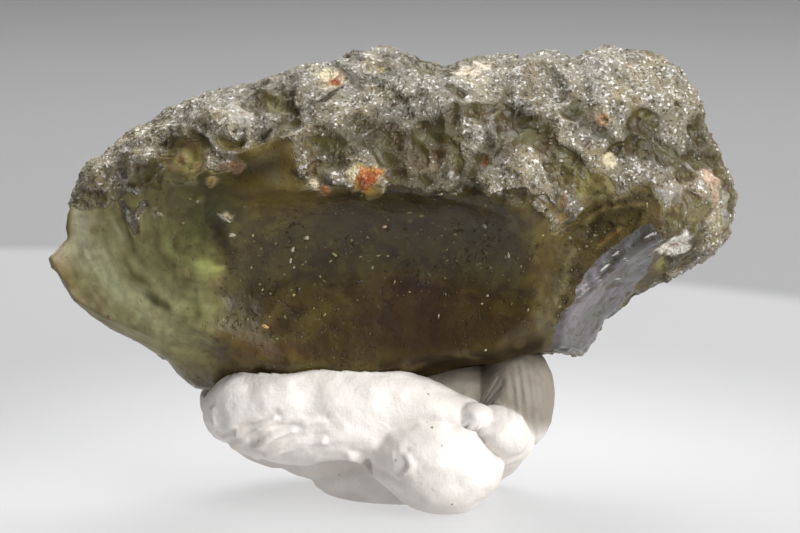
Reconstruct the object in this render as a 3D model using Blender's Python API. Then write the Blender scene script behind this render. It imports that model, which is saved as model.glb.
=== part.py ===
"""Moldavite on a putty stand.

A natural piece of green impact glass, etched and frosted on its crown and blunt end and chipped to a
smooth hollow at the front, held upright by a lump of white mounting putty. Metres, +Z up. The origin is
on the surface it stands on, below the middle of the whole object. +X runs along the stone to its blunt
end, and the chipped hollow faces -Y.
"""

import math
from collections import namedtuple

import bmesh
import bpy
import numpy as np
from mathutils import Euler, Vector

MM = 0.001

# ---- driving dimensions, in millimetres ----
STONE_LENGTH = 44.0
STONE_FRONT = 8.6  # from the outline's plane to the brow
STONE_BACK = 8.4
STONE_LEAN = 10.0  # degrees that the outline's plane leans back
STONE_CENTRE = (-0.05, -0.48, 18.1)  # where the outline's own centre stands
FULLNESS = 0.82  # 1 gives an ellipsoid, less gives a fuller pillow
BACKWARD_BOW = 1.4  # how far the outline's plane bows backward at its top and foot
PLAIN_HALF = (21.6, 10.9)  # half axes of the plain oval that the outline fades into, front and back
OUTLINE_FADE = 4  # higher keeps the outline's corners closer to its plane
KNOLL_HEIGHT = 0.65  # hills of the etched skin
KNOLL_LENGTH = 7.5  # from hill to hill
KNUCKLE_HEIGHT = 0.3  # smaller hills on them
KNUCKLE_LENGTH = 3.4
SEAT_GAP = 0.3  # clearance between the stone and the putty
PUTTY_FLOOR = 0.0  # height of the flat foot of the putty
FLOOR_BLOCK = 40.0  # side of the block that cuts the foot flat

# Half the outline's length, which the points below are drawn to.
OUTLINE_REACH = 22.0

# The stone's outline seen from the front (along, up), anticlockwise from the blunt right end.
OUTLINE = (
    (22.0, 1.4), (21.3, 3.3), (20.1, 5.8), (19.5, 8.2), (18.7, 9.3), (16.6, 10.6),  # blunt end
    (13.8, 10.8), (11.9, 10.3), (9.8, 10.8), (8.4, 10.1), (5.6, 10.3), (3.4, 9.6),  # crown
    (1.3, 10.2), (-0.5, 10.9), (-2.6, 10.8), (-4.2, 9.7), (-6.9, 9.1), (-9.8, 8.2),
    (-12.7, 7.5), (-15.2, 6.0), (-18.0, 4.3), (-20.0, 2.6), (-20.8, 0.8), (-21.1, -1.2),  # shoulder
    (-22.0, -2.7), (-21.3, -3.9), (-20.4, -5.4), (-18.8, -6.7), (-16.4, -8.0),  # thin tip
    (-14.4, -9.3), (-12.6, -11.0), (-9.0, -11.5), (-3.0, -11.6), (3.0, -11.2),  # foot in the putty
    (8.0, -10.2), (10.8, -9.1), (12.4, -8.6), (13.7, -6.5), (15.7, -4.9),  # broken lower corner
    (18.2, -3.5), (20.5, -2.3), (21.6, -0.9),
)

# A scoop or a lump is an ellipsoid: its centre (along, back, up), its radii on the same axes, and how
# many degrees it is turned in the outline's plane, anticlockwise from the front. Boxy under 1 makes it
# squarer, as FULLNESS does to the stone.
Ellipsoid = namedtuple("Ellipsoid", "name centre radii turn boxy", defaults=(0.0, 1.0))

# Old breaks, each a smooth shell-shaped hollow, in the stone's leaning frame.
SCOOPS = (
    Ellipsoid("front_hollow", (-2.4, -17.2, -6.3), (15.5, 13.2, 9.2), -1.0, 0.72),
    Ellipsoid("right_hollow", (13.6, -13.6, -3.8), (7.5, 8.2, 8.5)),
    Ellipsoid("tip_hollow", (-21.5, -12.0, -4.0), (12.5, 10.2, 12.0), -25.0),
    Ellipsoid("tip_shell", (-12.8, -9.6, -0.8), (3.8, 4.4, 3.6)),
    Ellipsoid("tip_back_hollow", (-21.0, 12.0, -3.0), (13.0, 9.0, 14.0)),
    Ellipsoid("back_hollow", (7.0, 20.0, -5.0), (13.0, 13.4, 11.0), 20.0),
    Ellipsoid("corner_chip", (23.0, -10.4, -14.9), (15.4, 15.4, 15.4)),
)

# Pits of the etched skin, seen from the front: (along, up, half width, half height, depth).
Pit = namedtuple("Pit", "along up half_width half_height depth")
PITS = (
    Pit(-7.2, 3.3, 1.7, 1.5, 0.9),  # window through the skin above the brow
    Pit(-7.4, 7.1, 1.9, 0.9, 0.6),
    Pit(-12.4, 3.9, 1.0, 1.2, 0.6),
    Pit(-14.6, 3.9, 0.9, 0.7, 0.5),
    Pit(-1.5, 2.6, 1.0, 0.9, 0.6),  # rusty pit at the brow
    Pit(-4.5, 1.9, 0.8, 0.7, 0.5),
    Pit(2.0, 4.2, 1.6, 0.9, 0.7),
    Pit(5.7, 6.7, 1.4, 0.7, 0.6),
    Pit(8.3, 5.7, 1.1, 0.8, 0.6),
    Pit(13.1, 6.1, 0.8, 0.8, 0.6),
    Pit(13.9, 4.2, 0.8, 0.8, 0.5),
    Pit(15.7, 5.0, 1.1, 1.1, 0.6),
)

# Lumps of putty pressed together, in the same leaning frame as the stone.
PUTTY_LUMPS = (
    Ellipsoid("core", (-0.6, 2.4, -13.6), (10.9, 6.6, 4.4), -11.0),
    Ellipsoid("foot", (1.0, 2.6, -16.3), (6.6, 6.1, 3.0)),
    Ellipsoid("front_flap", (-5.6, -2.4, -12.4), (6.8, 3.4, 3.0), -5.0, 0.9),
    Ellipsoid("front_lobe", (2.8, -1.8, -15.7), (4.4, 3.6, 3.2), -20.0),
    Ellipsoid("side_lobe", (7.3, -1.2, -14.1), (2.3, 2.8, 2.2)),
    Ellipsoid("front_fold", (3.5, -2.6, -12.2), (4.5, 2.5, 1.5), -22.0),
    Ellipsoid("rear_dome", (8.5, 2.4, -11.6), (2.2, 3.8, 2.9)),
    Ellipsoid("rear_flap", (-3.0, 6.2, -11.8), (6.6, 2.8, 3.0), 5.0),
)

STONE_FACES = 5  # subdivisions of the stone's starting icosphere, 5,120 faces
SCOOP_FACES = 4
PIT_FACES = 2
LUMP_FACES = 3


def clear_scene():
    for item in list(bpy.data.objects):
        bpy.data.objects.remove(item, do_unlink=True)


def new_collection(name):
    collection = bpy.data.collections.new(name)
    bpy.context.scene.collection.children.link(collection)
    return collection


def principled(name, colour, roughness, **inputs):
    """A Principled material with the given colour, roughness and any further inputs."""
    material = bpy.data.materials.new(name)
    material.use_nodes = True
    material.diffuse_color = (*colour, 1.0)
    shader = material.node_tree.nodes["Principled BSDF"]
    shader.inputs["Base Color"].default_value = (*colour, 1.0)
    shader.inputs["Roughness"].default_value = roughness
    for socket, value in inputs.items():
        shader.inputs[socket.replace("_", " ")].default_value = value
    return material


def icosphere(name, collection, subdivisions):
    """A unit icosphere object, whose vertices the caller moves."""
    mesh = bpy.data.meshes.new(name)
    builder = bmesh.new()
    bmesh.ops.create_icosphere(builder, subdivisions=subdivisions, radius=1.0)
    builder.to_mesh(mesh)
    builder.free()
    item = bpy.data.objects.new(name, mesh)
    collection.objects.link(item)
    return item


def read_points(item):
    points = np.empty(len(item.data.vertices) * 3)
    item.data.vertices.foreach_get("co", points)
    return points.reshape(-1, 3)


def write_points(item, points):
    item.data.vertices.foreach_set("co", (points * MM).ravel())
    item.data.update()


def as_cutter(item):
    item.hide_render = True
    item.display_type = "WIRE"


def boolean(item, other, operation):
    modifier = item.modifiers.new(f"{operation.lower()} {other.name}", "BOOLEAN")
    modifier.operation = operation
    modifier.solver = "EXACT"
    modifier.object = other


def outline_radius(angle):
    """Distance from the outline's centre to the outline, read round the closed list of points."""
    scale = STONE_LENGTH / (2.0 * OUTLINE_REACH)
    points = np.array(OUTLINE) * scale
    corners = np.arctan2(points[:, 1], points[:, 0])
    order = np.argsort(corners)
    return np.interp(angle, corners[order], np.hypot(*points[order].T), period=2.0 * math.pi)


def hills(points, length):
    """Hills from 1 to -1: three crossed waves of unlike lengths, so that no two hills are the same."""
    along, back, up = (points * (2.0 * math.pi / length)).T
    return (
        np.sin(along + 0.7 * up + 1.1)
        + np.sin(0.8 * up - 0.6 * along + 0.9 * back + 2.0)
        + np.sin(1.3 * back + 0.5 * along + 0.4)
    ) / 3.0


def skin_rise(points):
    """Height of the etched skin's hills over the plain pillow."""
    return KNOLL_HEIGHT * hills(points, KNOLL_LENGTH) + KNUCKLE_HEIGHT * hills(points, KNUCKLE_LENGTH)


def stone_body(directions, grow):
    """The stone before it was chipped: unit directions become points of a full pillow.

    The part of a direction that lies in the outline's plane is stretched to the outline, and the part
    across it to the front or back depth. Both are raised to FULLNESS, which fills out the corners. Away
    from its plane the outline fades into a plain oval, and hills are laid on the front and back.
    """
    along, back, up = directions.T
    flat = np.hypot(along, up)
    angle = np.arctan2(up, along)
    plain = 1.0 / np.hypot(np.cos(angle) / PLAIN_HALF[0], np.sin(angle) / PLAIN_HALF[1])
    reach = (plain + (outline_radius(angle) - plain) * flat**OUTLINE_FADE + grow) * flat**FULLNESS
    depth = np.where(back < 0.0, -STONE_FRONT - grow, STONE_BACK + grow) * np.abs(back) ** FULLNESS
    points = np.column_stack((reach * np.cos(angle), depth, reach * np.sin(angle)))
    points[:, 1] += BACKWARD_BOW * (points[:, 2] / PLAIN_HALF[1]) ** 2
    return points + directions * (skin_rise(points) * np.sqrt(np.abs(back)))[:, None]


def front_depth(along, up):
    """How far back the pillow's front face lies at a place on the outline's plane."""
    share = np.hypot(along, up) / outline_radius(math.atan2(up, along))
    flat = share ** (1.0 / FULLNESS)
    depth = STONE_FRONT * (1.0 - flat**2) ** (FULLNESS / 2.0)
    back = BACKWARD_BOW * (up / PLAIN_HALF[1]) ** 2 - depth
    return back - float(skin_rise(np.array([[along, back, up]]))[0])


def ellipsoid(shape, collection, subdivisions, grow=0.0):
    """An icosphere made squarer, stretched to the shape's radii, turned and moved to its place."""
    item = icosphere(shape.name, collection, subdivisions)
    radii = np.array(shape.radii) + grow
    ball = read_points(item)
    ball = np.sign(ball) * np.abs(ball) ** shape.boxy
    turn = np.array(Euler((0.0, -math.radians(shape.turn), 0.0)).to_matrix())
    write_points(item, (ball * radii) @ turn.T + np.array(shape.centre))
    return item


def pit_ellipsoid(number, pit):
    """A pit is the end of an ellipsoid that dips into the front face by the pit's depth."""
    radii = (pit.half_width, 2.0 * pit.depth, pit.half_height)
    centre = (pit.along, front_depth(pit.along, pit.up) - pit.depth, pit.up)
    return Ellipsoid(f"pit_{number}", centre, radii)


def lean_back(item):
    """Puts an item that was made in the stone's leaning frame in its place."""
    item.rotation_euler = (-math.radians(STONE_LEAN), 0.0, 0.0)
    item.location = Vector(STONE_CENTRE) * MM


def stone_solid(name, collection, cutters, grow):
    """The chipped and pitted stone, larger all round by grow."""
    stone = icosphere(name, collection, STONE_FACES)
    write_points(stone, stone_body(read_points(stone), grow))
    lean_back(stone)
    for scoop in SCOOPS:
        cutter = ellipsoid(scoop, cutters, SCOOP_FACES, -grow)
        cutter.name = f"{name} {scoop.name}"
        as_cutter(cutter)
        lean_back(cutter)
        boolean(stone, cutter, "DIFFERENCE")
    return stone


def make_stone(parts, cutters):
    stone = stone_solid("moldavite", parts, cutters, 0.0)
    for number, pit in enumerate(PITS):
        cutter = ellipsoid(pit_ellipsoid(number, pit), cutters, PIT_FACES)
        as_cutter(cutter)
        lean_back(cutter)
        boolean(stone, cutter, "DIFFERENCE")
    glass = principled(
        "moldavite glass", (0.10, 0.11, 0.045), 0.3, Transmission_Weight=0.6, IOR=1.49
    )
    stone.data.materials.append(glass)
    return stone


def make_putty(parts, cutters):
    """Lumps joined to one body, hollowed by a slightly larger stone and cut off flat underneath."""
    core, *others = PUTTY_LUMPS
    putty = ellipsoid(core, parts, LUMP_FACES + 1)
    putty.name = "putty_stand"
    lean_back(putty)
    for lump in others:
        extra = ellipsoid(lump, cutters, LUMP_FACES)
        as_cutter(extra)
        lean_back(extra)
        boolean(putty, extra, "UNION")

    seat = stone_solid("seat", cutters, cutters, SEAT_GAP)
    as_cutter(seat)
    boolean(putty, seat, "DIFFERENCE")

    bpy.ops.mesh.primitive_cube_add(
        size=FLOOR_BLOCK * MM, location=(0.0, 0.0, (PUTTY_FLOOR - FLOOR_BLOCK / 2.0) * MM)
    )
    floor = bpy.context.object
    floor.name = "floor_cutter"
    for collection in list(floor.users_collection):
        collection.objects.unlink(floor)
    cutters.objects.link(floor)
    as_cutter(floor)
    boolean(putty, floor, "DIFFERENCE")
    putty.data.materials.append(principled("white putty", (0.82, 0.78, 0.74), 0.75))
    return putty


def main():
    clear_scene()
    parts = new_collection("moldavite on stand")
    cutters = new_collection("cutters")
    make_stone(parts, cutters)
    make_putty(parts, cutters)


main()
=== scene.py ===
"""Finish of a moldavite on its putty stand: the etched glass stone, the grains held on its face, the
pressed putty and a plain studio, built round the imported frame. Shapes are worked out in millimetres in
the stone's own leaning frame (along, back, up) and written into the meshes in metres."""

import math
from collections import namedtuple
from types import SimpleNamespace

import bpy
import numpy as np
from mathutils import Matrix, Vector


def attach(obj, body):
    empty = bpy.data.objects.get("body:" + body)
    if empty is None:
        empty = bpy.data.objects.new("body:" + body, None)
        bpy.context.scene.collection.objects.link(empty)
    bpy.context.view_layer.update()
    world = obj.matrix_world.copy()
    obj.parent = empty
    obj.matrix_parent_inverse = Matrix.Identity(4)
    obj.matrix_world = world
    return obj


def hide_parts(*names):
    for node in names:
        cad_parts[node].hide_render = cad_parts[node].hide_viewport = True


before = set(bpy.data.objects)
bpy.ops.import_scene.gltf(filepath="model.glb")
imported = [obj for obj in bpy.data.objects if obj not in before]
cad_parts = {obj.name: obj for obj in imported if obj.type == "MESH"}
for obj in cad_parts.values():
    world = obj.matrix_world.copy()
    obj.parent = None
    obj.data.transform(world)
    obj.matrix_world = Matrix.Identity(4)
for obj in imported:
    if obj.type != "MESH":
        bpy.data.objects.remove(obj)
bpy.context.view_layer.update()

bl_info = {
    "name": "Moldavite on a putty stand",
    "version": (1, 0, 0),
    "blender": (4, 5, 0),
    "location": "3D View > Sidebar > Moldavite",
    "description": "Etched impact glass held up by mounting putty, with a plain studio",
    "category": "Add Mesh",
}

MM = 0.001
# A distance in millimetres that is longer than any on the object.
FAR_OFF = 99.0

# ---- the stone's driving dimensions, in millimetres and degrees ----
STONE_FRONT = 8.6
STONE_BACK = 8.4
STONE_LEAN = 10.0
STONE_CENTRE = (-0.05, -0.48, 18.1)
# Power of the pillow's swell: 1 is an ellipsoid, and less is fuller.
FULLNESS = 0.82
BACKWARD_BOW = 1.4
# The plain oval inside the outline, and how fast the outline fades into it towards the middle.
PLAIN_HALF = (21.6, 10.9)
OUTLINE_FADE = 4
# Wide knolls and small knuckles of the skin.
KNOLL_HEIGHT = 0.65
KNOLL_LENGTH = 7.5
KNUCKLE_HEIGHT = 0.3
KNUCKLE_LENGTH = 3.4

# The stone's outline seen from the front (along, up), anticlockwise from the blunt right end.
OUTLINE = (
    (22.0, 1.4), (21.3, 3.3), (20.1, 5.8), (19.5, 8.2), (18.7, 9.3), (16.6, 10.6),  # blunt end
    (13.8, 10.8), (11.9, 10.3), (9.8, 10.8), (8.4, 10.1), (5.6, 10.3), (3.4, 9.6),  # crown
    (1.3, 10.2), (-0.5, 10.9), (-2.6, 10.8), (-4.2, 9.7), (-6.9, 9.1), (-9.8, 8.2),
    (-12.7, 7.5), (-15.2, 6.0), (-18.0, 4.3), (-20.0, 2.6), (-20.6, 0.8), (-20.75, -1.4),  # shoulder
    (-22.0, -2.6), (-21.4, -3.8), (-20.4, -5.4), (-18.8, -6.7), (-16.4, -8.0),  # thin tip
    (-14.4, -9.3), (-12.6, -11.0), (-9.0, -11.5), (-3.5, -11.4), (0.5, -10.4), (4.0, -9.7),  # foot
    (8.0, -8.75), (10.8, -8.6), (12.4, -8.6), (13.7, -6.5), (15.7, -4.9),  # broken lower corner
    (18.2, -3.5), (20.5, -2.3), (21.6, -0.9),
)

# Centre (along, back, up), radii on the same axes, turn in the outline's plane in degrees, and how
# square the ellipsoid is (1 is round).
Ellipsoid = namedtuple("Ellipsoid", "name centre radii turn boxy", defaults=(0.0, 1.0))

SCOOPS = (
    Ellipsoid("front_hollow", (-2.4, -17.2, -6.3), (15.5, 13.2, 9.2), -1.0, 0.72),
    Ellipsoid("right_hollow", (13.6, -13.6, -3.8), (7.5, 8.2, 8.5)),
    Ellipsoid("tip_hollow", (-21.5, -12.0, -4.0), (12.5, 10.2, 12.0), -25.0),
    Ellipsoid("tip_shell", (-12.8, -9.6, -0.8), (3.8, 4.4, 3.6)),
    Ellipsoid("tip_back_hollow", (-21.0, 12.0, -3.0), (13.0, 9.0, 14.0)),
    Ellipsoid("back_hollow", (7.0, 20.0, -5.0), (13.0, 13.4, 11.0), 20.0),
    Ellipsoid("corner_chip", (23.0, -10.4, -14.9), (15.4, 15.4, 15.4)),
)

PUTTY_LUMPS = (
    Ellipsoid("core", (-1.6, 3.0, -13.3), (10.9, 5.7, 4.4), -9.0),
    Ellipsoid("foot", (1.0, 3.2, -16.3), (6.4, 5.4, 3.0)),
    Ellipsoid("front_flap", (-5.4, -2.1, -12.55), (6.65, 3.3, 3.15), -3.0, 0.86),
    Ellipsoid("front_lobe", (2.8, -2.3, -15.5), (4.3, 3.6, 3.35), -20.0),
    Ellipsoid("side_lobe", (7.0, -0.6, -14.0), (2.1, 2.8, 2.0)),
    Ellipsoid("knob", (6.9, -2.7, -13.6), (1.8, 2.2, 1.5), -15.0),
    Ellipsoid("front_fold", (1.4, -2.5, -11.9), (5.4, 2.4, 1.8), -20.0),
    Ellipsoid("pinch", (5.4, -3.6, -12.75), (1.2, 1.4, 0.8), -15.0),
    Ellipsoid("rear_dome", (7.9, 1.3, -11.6), (2.75, 4.3, 3.6)),
    Ellipsoid("rear_fill", (4.2, 2.6, -11.7), (5.2, 4.4, 2.9)),
    Ellipsoid("rear_flap", (-3.0, 6.2, -11.8), (6.6, 2.8, 3.0), 5.0),
)
# The lumps at the back and underneath, which get a painted shade, darker than the flap, the lobes and the
# folds in front of them.
SHADED_LUMPS = ("core", "foot", "rear_dome", "rear_fill", "rear_flap")

# ---- finer forms of the stone, seen from the front (along, up) ----
# Widths over which old breaks run into each other, and over which they meet the skin.
BREAK_SOFTNESS = 1.3
RIM_SOFTNESS = 0.3
# Share of the pillow's reach that the flat skeleton inside it takes up.
SKELETON_SHARE = 0.9
# How the grid's points crowd to the front and back poles: more than 1 crowds them there.
STONE_CROWD = 1.15

# Where a zone fades in: none at the first value, whole at the second. The first is a share of the
# direction to the back, and the others are places along the stone.
FRONT_FADE = (0.25, -0.1)
ROUGH_TIP = (-20.0, -21.0)
BEAK_ZONE = (-18.8, -20.6)
WORN_LEFT = (-7.5, -12.0)
FIBRE_ZONE = (-8.5, -11.5)
WORN_RIGHT = (9.0, 11.5)
HACKLE_ZONE = (9.3, 11.0)

# Layers of soft noise: size in millimetres, height in millimetres, and seed.
FRONT_EDGE = ((1.9, 0.12, 70),)
RAGGED_EDGE = ((1.3, 0.45, 71), (0.55, 0.3, 72))
TRAIL_EDGE = ((0.5, 0.15, 73),)
CHIP_LINE_EDGE = ((0.6, 0.3, 98),)
CRACK_EDGE = ((0.7, 0.12, 99),)
CRUST_EDGE = ((0.5, 0.45, 111),)
RING_WOBBLE = ((2.6, 0.6, 91), (1.0, 0.2, 92))
CHIP_WAVES = ((1.1, 0.03, 97), (2.2, 0.05, 96))
RIPPLES = ((2.4, 0.06, 101), (0.9, 0.03, 102))
WORN_RIPPLES = ((0.7, 0.05, 103), (0.35, 0.03, 104))
HACKLE_GRAIN = ((0.42, 0.12, 106),)
BEAK_GRAIN = ((0.8, 0.07, 109),)
REAR_GRAIN = ((0.6, 0.06, 108),)
REAR_WOBBLE = ((2.2, 0.5, 107),)
SKIN_GRAIN = ((0.28, 0.03, 61),)
KNOLLS = ((2.7, 1.0, 21), (1.25, 0.55, 22))
SHADE_NOISE = ((1.7, 0.16, 131),)
WARMTH_NOISE = ((1.3, 1.0, 132),)
# Noises that push places about: how far in millimetres, size, and the first seed.
ETCH_PUSH = (0.8, 2.6, 11)
PATCH_PUSH = (0.5, 1.2, 81)
TINT_PUSH = (0.8, 2.4, 121)
STREAK_PUSH = (0.3, 1.4, 123)
# Noises that leave gaps in a form: where it fades in, size and seed.
RIB_GAPS = (-0.8, 0.2, 2.0, 93)
CRACK_GAPS = (-0.7, 0.3, 0.8, 100)
STREAK_GAPS = (-0.9, 0.1, 0.9, 125)
# Edges of masks: where they fade in, in millimetres.
REAR_SKIN_EDGE = (-0.35, 0.55)
BROW_EDGE = (-0.3, 0.35)
CHIP_EDGE = (-0.4, 0.2)
CHIP_COLOUR_EDGE = (-1.5, -0.8)
# The etched skin's bowls and its fine ridges, also as size, height and seed.
SCALLOPS = ((2.5, 0.30, 31), (1.15, 0.18, 41))
STRING_RIDGES = ((1.5, 0.08, 52), (0.8, 0.10, 54), (0.45, 0.06, 56))
SOFT_KNOLL_HEIGHT = 0.20
CREST_LEVEL = 0.45
# The panel's jagged ridges and the beak's rough shells: height, then size, seed and mean level.
HACKLE_HEIGHT = 0.22
HACKLE_RIDGES = (0.9, 105, 0.4)
SHELL_HEIGHT = 0.2
SHELL_RIDGES = (2.0, 110, 0.45)
WORN_RIGHT_SHARE = 0.7
CHIP_SMOOTHING = 0.8
# Fibres round the old blow: stretch along the rings, round them and in depth, then the shares by which
# the coarse and the fine ones change the tint.
FIBRE_STRETCH = (3.2, 2.4, 0.6)
FIBRE_SHARE = 0.15
FINE_FIBRE_STRETCH = (3.0, 1.4, 1.0)
FINE_FIBRE_SHARE = 0.12

# The line where the etched skin ends over the chipped hollow. Past the last points it takes in the
# whole blunt end.
BROW = (
    (-22.5, 0.4), (-20.4, 0.8), (-17.2, 0.9), (-15.6, 1.8), (-12.4, 2.3), (-10.1, 3.4), (-8.8, 3.7),
    (-8.4, 4.7), (-6.2, 4.5), (-5.8, 2.1), (-0.4, 1.8), (8.3, 1.5), (9.6, 1.2), (10.7, -0.3),
    (12.5, 1.3), (16.2, 1.8), (17.0, 0.2), (17.3, -2.5), (17.8, -7.0), (23.0, -7.0),
)

# Bent lines along which the skin is thickly frosted (1) or a clear dark channel (-1), and their widths.
Patch = namedtuple("Patch", "line width frost")
PATCH_LIMITS = (-1.2, 1.0)
PATCH_HEIGHT = 0.16
PATCHES = (
    Patch(((4.5, 6.4), (7.0, 6.8), (8.3, 5.7), (9.9, 4.4), (11.8, 2.1)), 0.75, -1.0),
    Patch(((11.4, 6.8), (12.8, 6.0), (13.8, 4.7), (16.0, 4.3), (17.0, 3.9)), 0.55, -1.0),
    Patch(((14.6, 5.8), (15.7, 5.3)), 0.35, -0.8),
    Patch(((13.4, 7.6), (14.6, 7.4)), 0.3, -0.7),
    Patch(((3.1, 8.1), (3.9, 7.8)), 0.45, -0.8),
    Patch(((0.3, 4.8), (3.7, 4.5), (2.4, 3.3)), 0.7, -0.6),
    Patch(((9.9, 3.2), (13.2, 1.2)), 0.8, -0.9),
    Patch(((-6.2, 5.2), (-3.5, 4.4), (-4.8, 3.0)), 0.7, -0.7),
    Patch(((-14.5, 3.7), (-13.9, 3.6)), 0.5, -0.8),
    Patch(((-12.7, 4.4), (-12.3, 3.0)), 0.7, -1.0),
    Patch(((-8.4, 7.3), (-6.2, 7.1)), 0.7, -1.1),
    Patch(((-11.3, 5.5), (-11.1, 5.3)), 0.35, -0.7),
    Patch(((-16.5, 2.0), (-13.0, 1.6)), 0.4, -0.6),
    Patch(((-19.4, 3.3), (-17.0, 4.6), (-13.0, 6.3)), 1.2, 0.6),
    Patch(((-5.0, 7.6), (-1.0, 7.4), (3.0, 7.0)), 1.2, 0.5),
    Patch(((16.2, 1.0), (18.0, 1.6)), 0.9, 0.5),
    Patch(((17.8, 0.2), (19.6, 0.6)), 0.8, -0.5),
    Patch(((19.6, 2.4), (20.8, 0.6), (20.4, -1.4)), 0.8, 0.8),
    Patch(((-11.0, 6.3), (-8.9, 6.0)), 1.1, 0.7),
    Patch(((-2.0, 9.3), (2.0, 9.0)), 1.1, 0.5),
    Patch(((-5.4, 3.4), (-6.4, 1.2)), 0.5, 0.9),
    Patch(((8.8, 8.4), (12.6, 8.4)), 1.1, 0.6),
    Patch(((14.0, 9.2), (18.2, 8.2)), 1.6, 0.8),
    Patch(((17.6, 6.8), (17.8, 4.9)), 1.2, 0.7),
    Patch(((9.7, 6.5), (11.5, 4.8), (13.0, 3.0)), 0.8, 0.9),
    Patch(((6.5, 2.5), (9.0, 2.6)), 0.9, 0.7),
    Patch(((4.9, 5.9), (5.0, 4.4)), 0.7, 0.8),
    Patch(((14.2, 2.8), (17.0, 2.3)), 0.8, 0.6),
    Patch(((4.2, 8.5), (5.8, 8.1)), 0.7, 0.7),
    Patch(((-18.5, 2.6), (-15.4, 1.4)), 0.4, 0.4),
    Patch(((10.3, 1.4), (10.8, 0.5)), 0.45, -1.1),
)

# A thin overhanging lip on the left shoulder, with a broken dark crack over it.
LIP = ((-11.45, 5.2), (-10.7, 4.0), (-9.3, 3.75), (-7.2, 4.6), (-5.1, 5.4))
LIP_HEIGHT = 0.3
LIP_WIDTH = 0.2
LIP_FROST = 0.24
LIP_SMOOTHING = 0.9
CRACK = ((-10.5, 4.2), (-8.2, 4.95), (-6.2, 6.2), (-3.1, 8.1))
CRACK_DEPTH = 0.34
CRACK_WIDTH = 0.16
CRACK_SHADE = 0.55

# Forked trails of frost on the clear glass, under the left shoulder and over the right panel.
TRAILS = (
    ((-17.2, 0.9), (-16.7, 0.3), (-16.3, -0.9)),
    ((-16.3, -0.9), (-16.1, 0.2), (-15.6, 0.8)),
    ((12.0, 1.0), (10.9, -0.4), (10.2, -0.8)),
    ((8.9, 0.8), (10.6, -0.4)),
)
TRAIL_FADE = (0.38, 0.16)
TRAIL_COVER = 0.9

# Short ridges torn along the chip's upper side; the material paints a highlight on each crest and shade in
# the groove under it.
GLINT_RIDGES = (
    ((15.95, -1.35), (16.3, -1.1), (16.6, -1.05)),
    ((16.0, -1.85), (16.45, -1.7), (16.75, -1.5)),
    ((13.5, -3.8), (14.0, -3.3), (14.3, -2.8), (14.6, -2.6)),
    ((13.2, -3.4), (13.6, -3.05), (13.9, -2.9)),
    ((13.7, -4.1), (14.1, -3.85), (14.45, -3.9)),
    ((14.35, -3.2), (14.8, -2.7)),
    ((13.9, -2.5), (14.3, -2.2)),
)
GLINT_RIDGE_WIDTH = 0.16
GLINT_RIDGE_HEIGHT = 0.1
# How far under its ridge a groove lies and how wide it is, in widths of the ridge.
GROOVE_DROP = 2.5
GROOVE_WIDTH = 1.4

# Shell-shaped ribs round the old blow at the thin end: distance from the blow, width, height. They lie
# in a fan of bearings, which fades in and out over these degrees.
RIB_CENTRE = (-12.0, 0.2)
FAN_START = (140.0, 170.0)
FAN_END = (292.0, 262.0)
RIBS = (
    (2.9, 0.35, 0.07),
    (4.1, 0.55, 0.05),
    (5.2, 0.45, -0.12),
    (6.0, 0.30, 0.04),
    (6.5, 0.22, -0.07),
    (7.5, 0.7, 0.05),
    (9.0, 0.8, -0.04),
)

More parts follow.
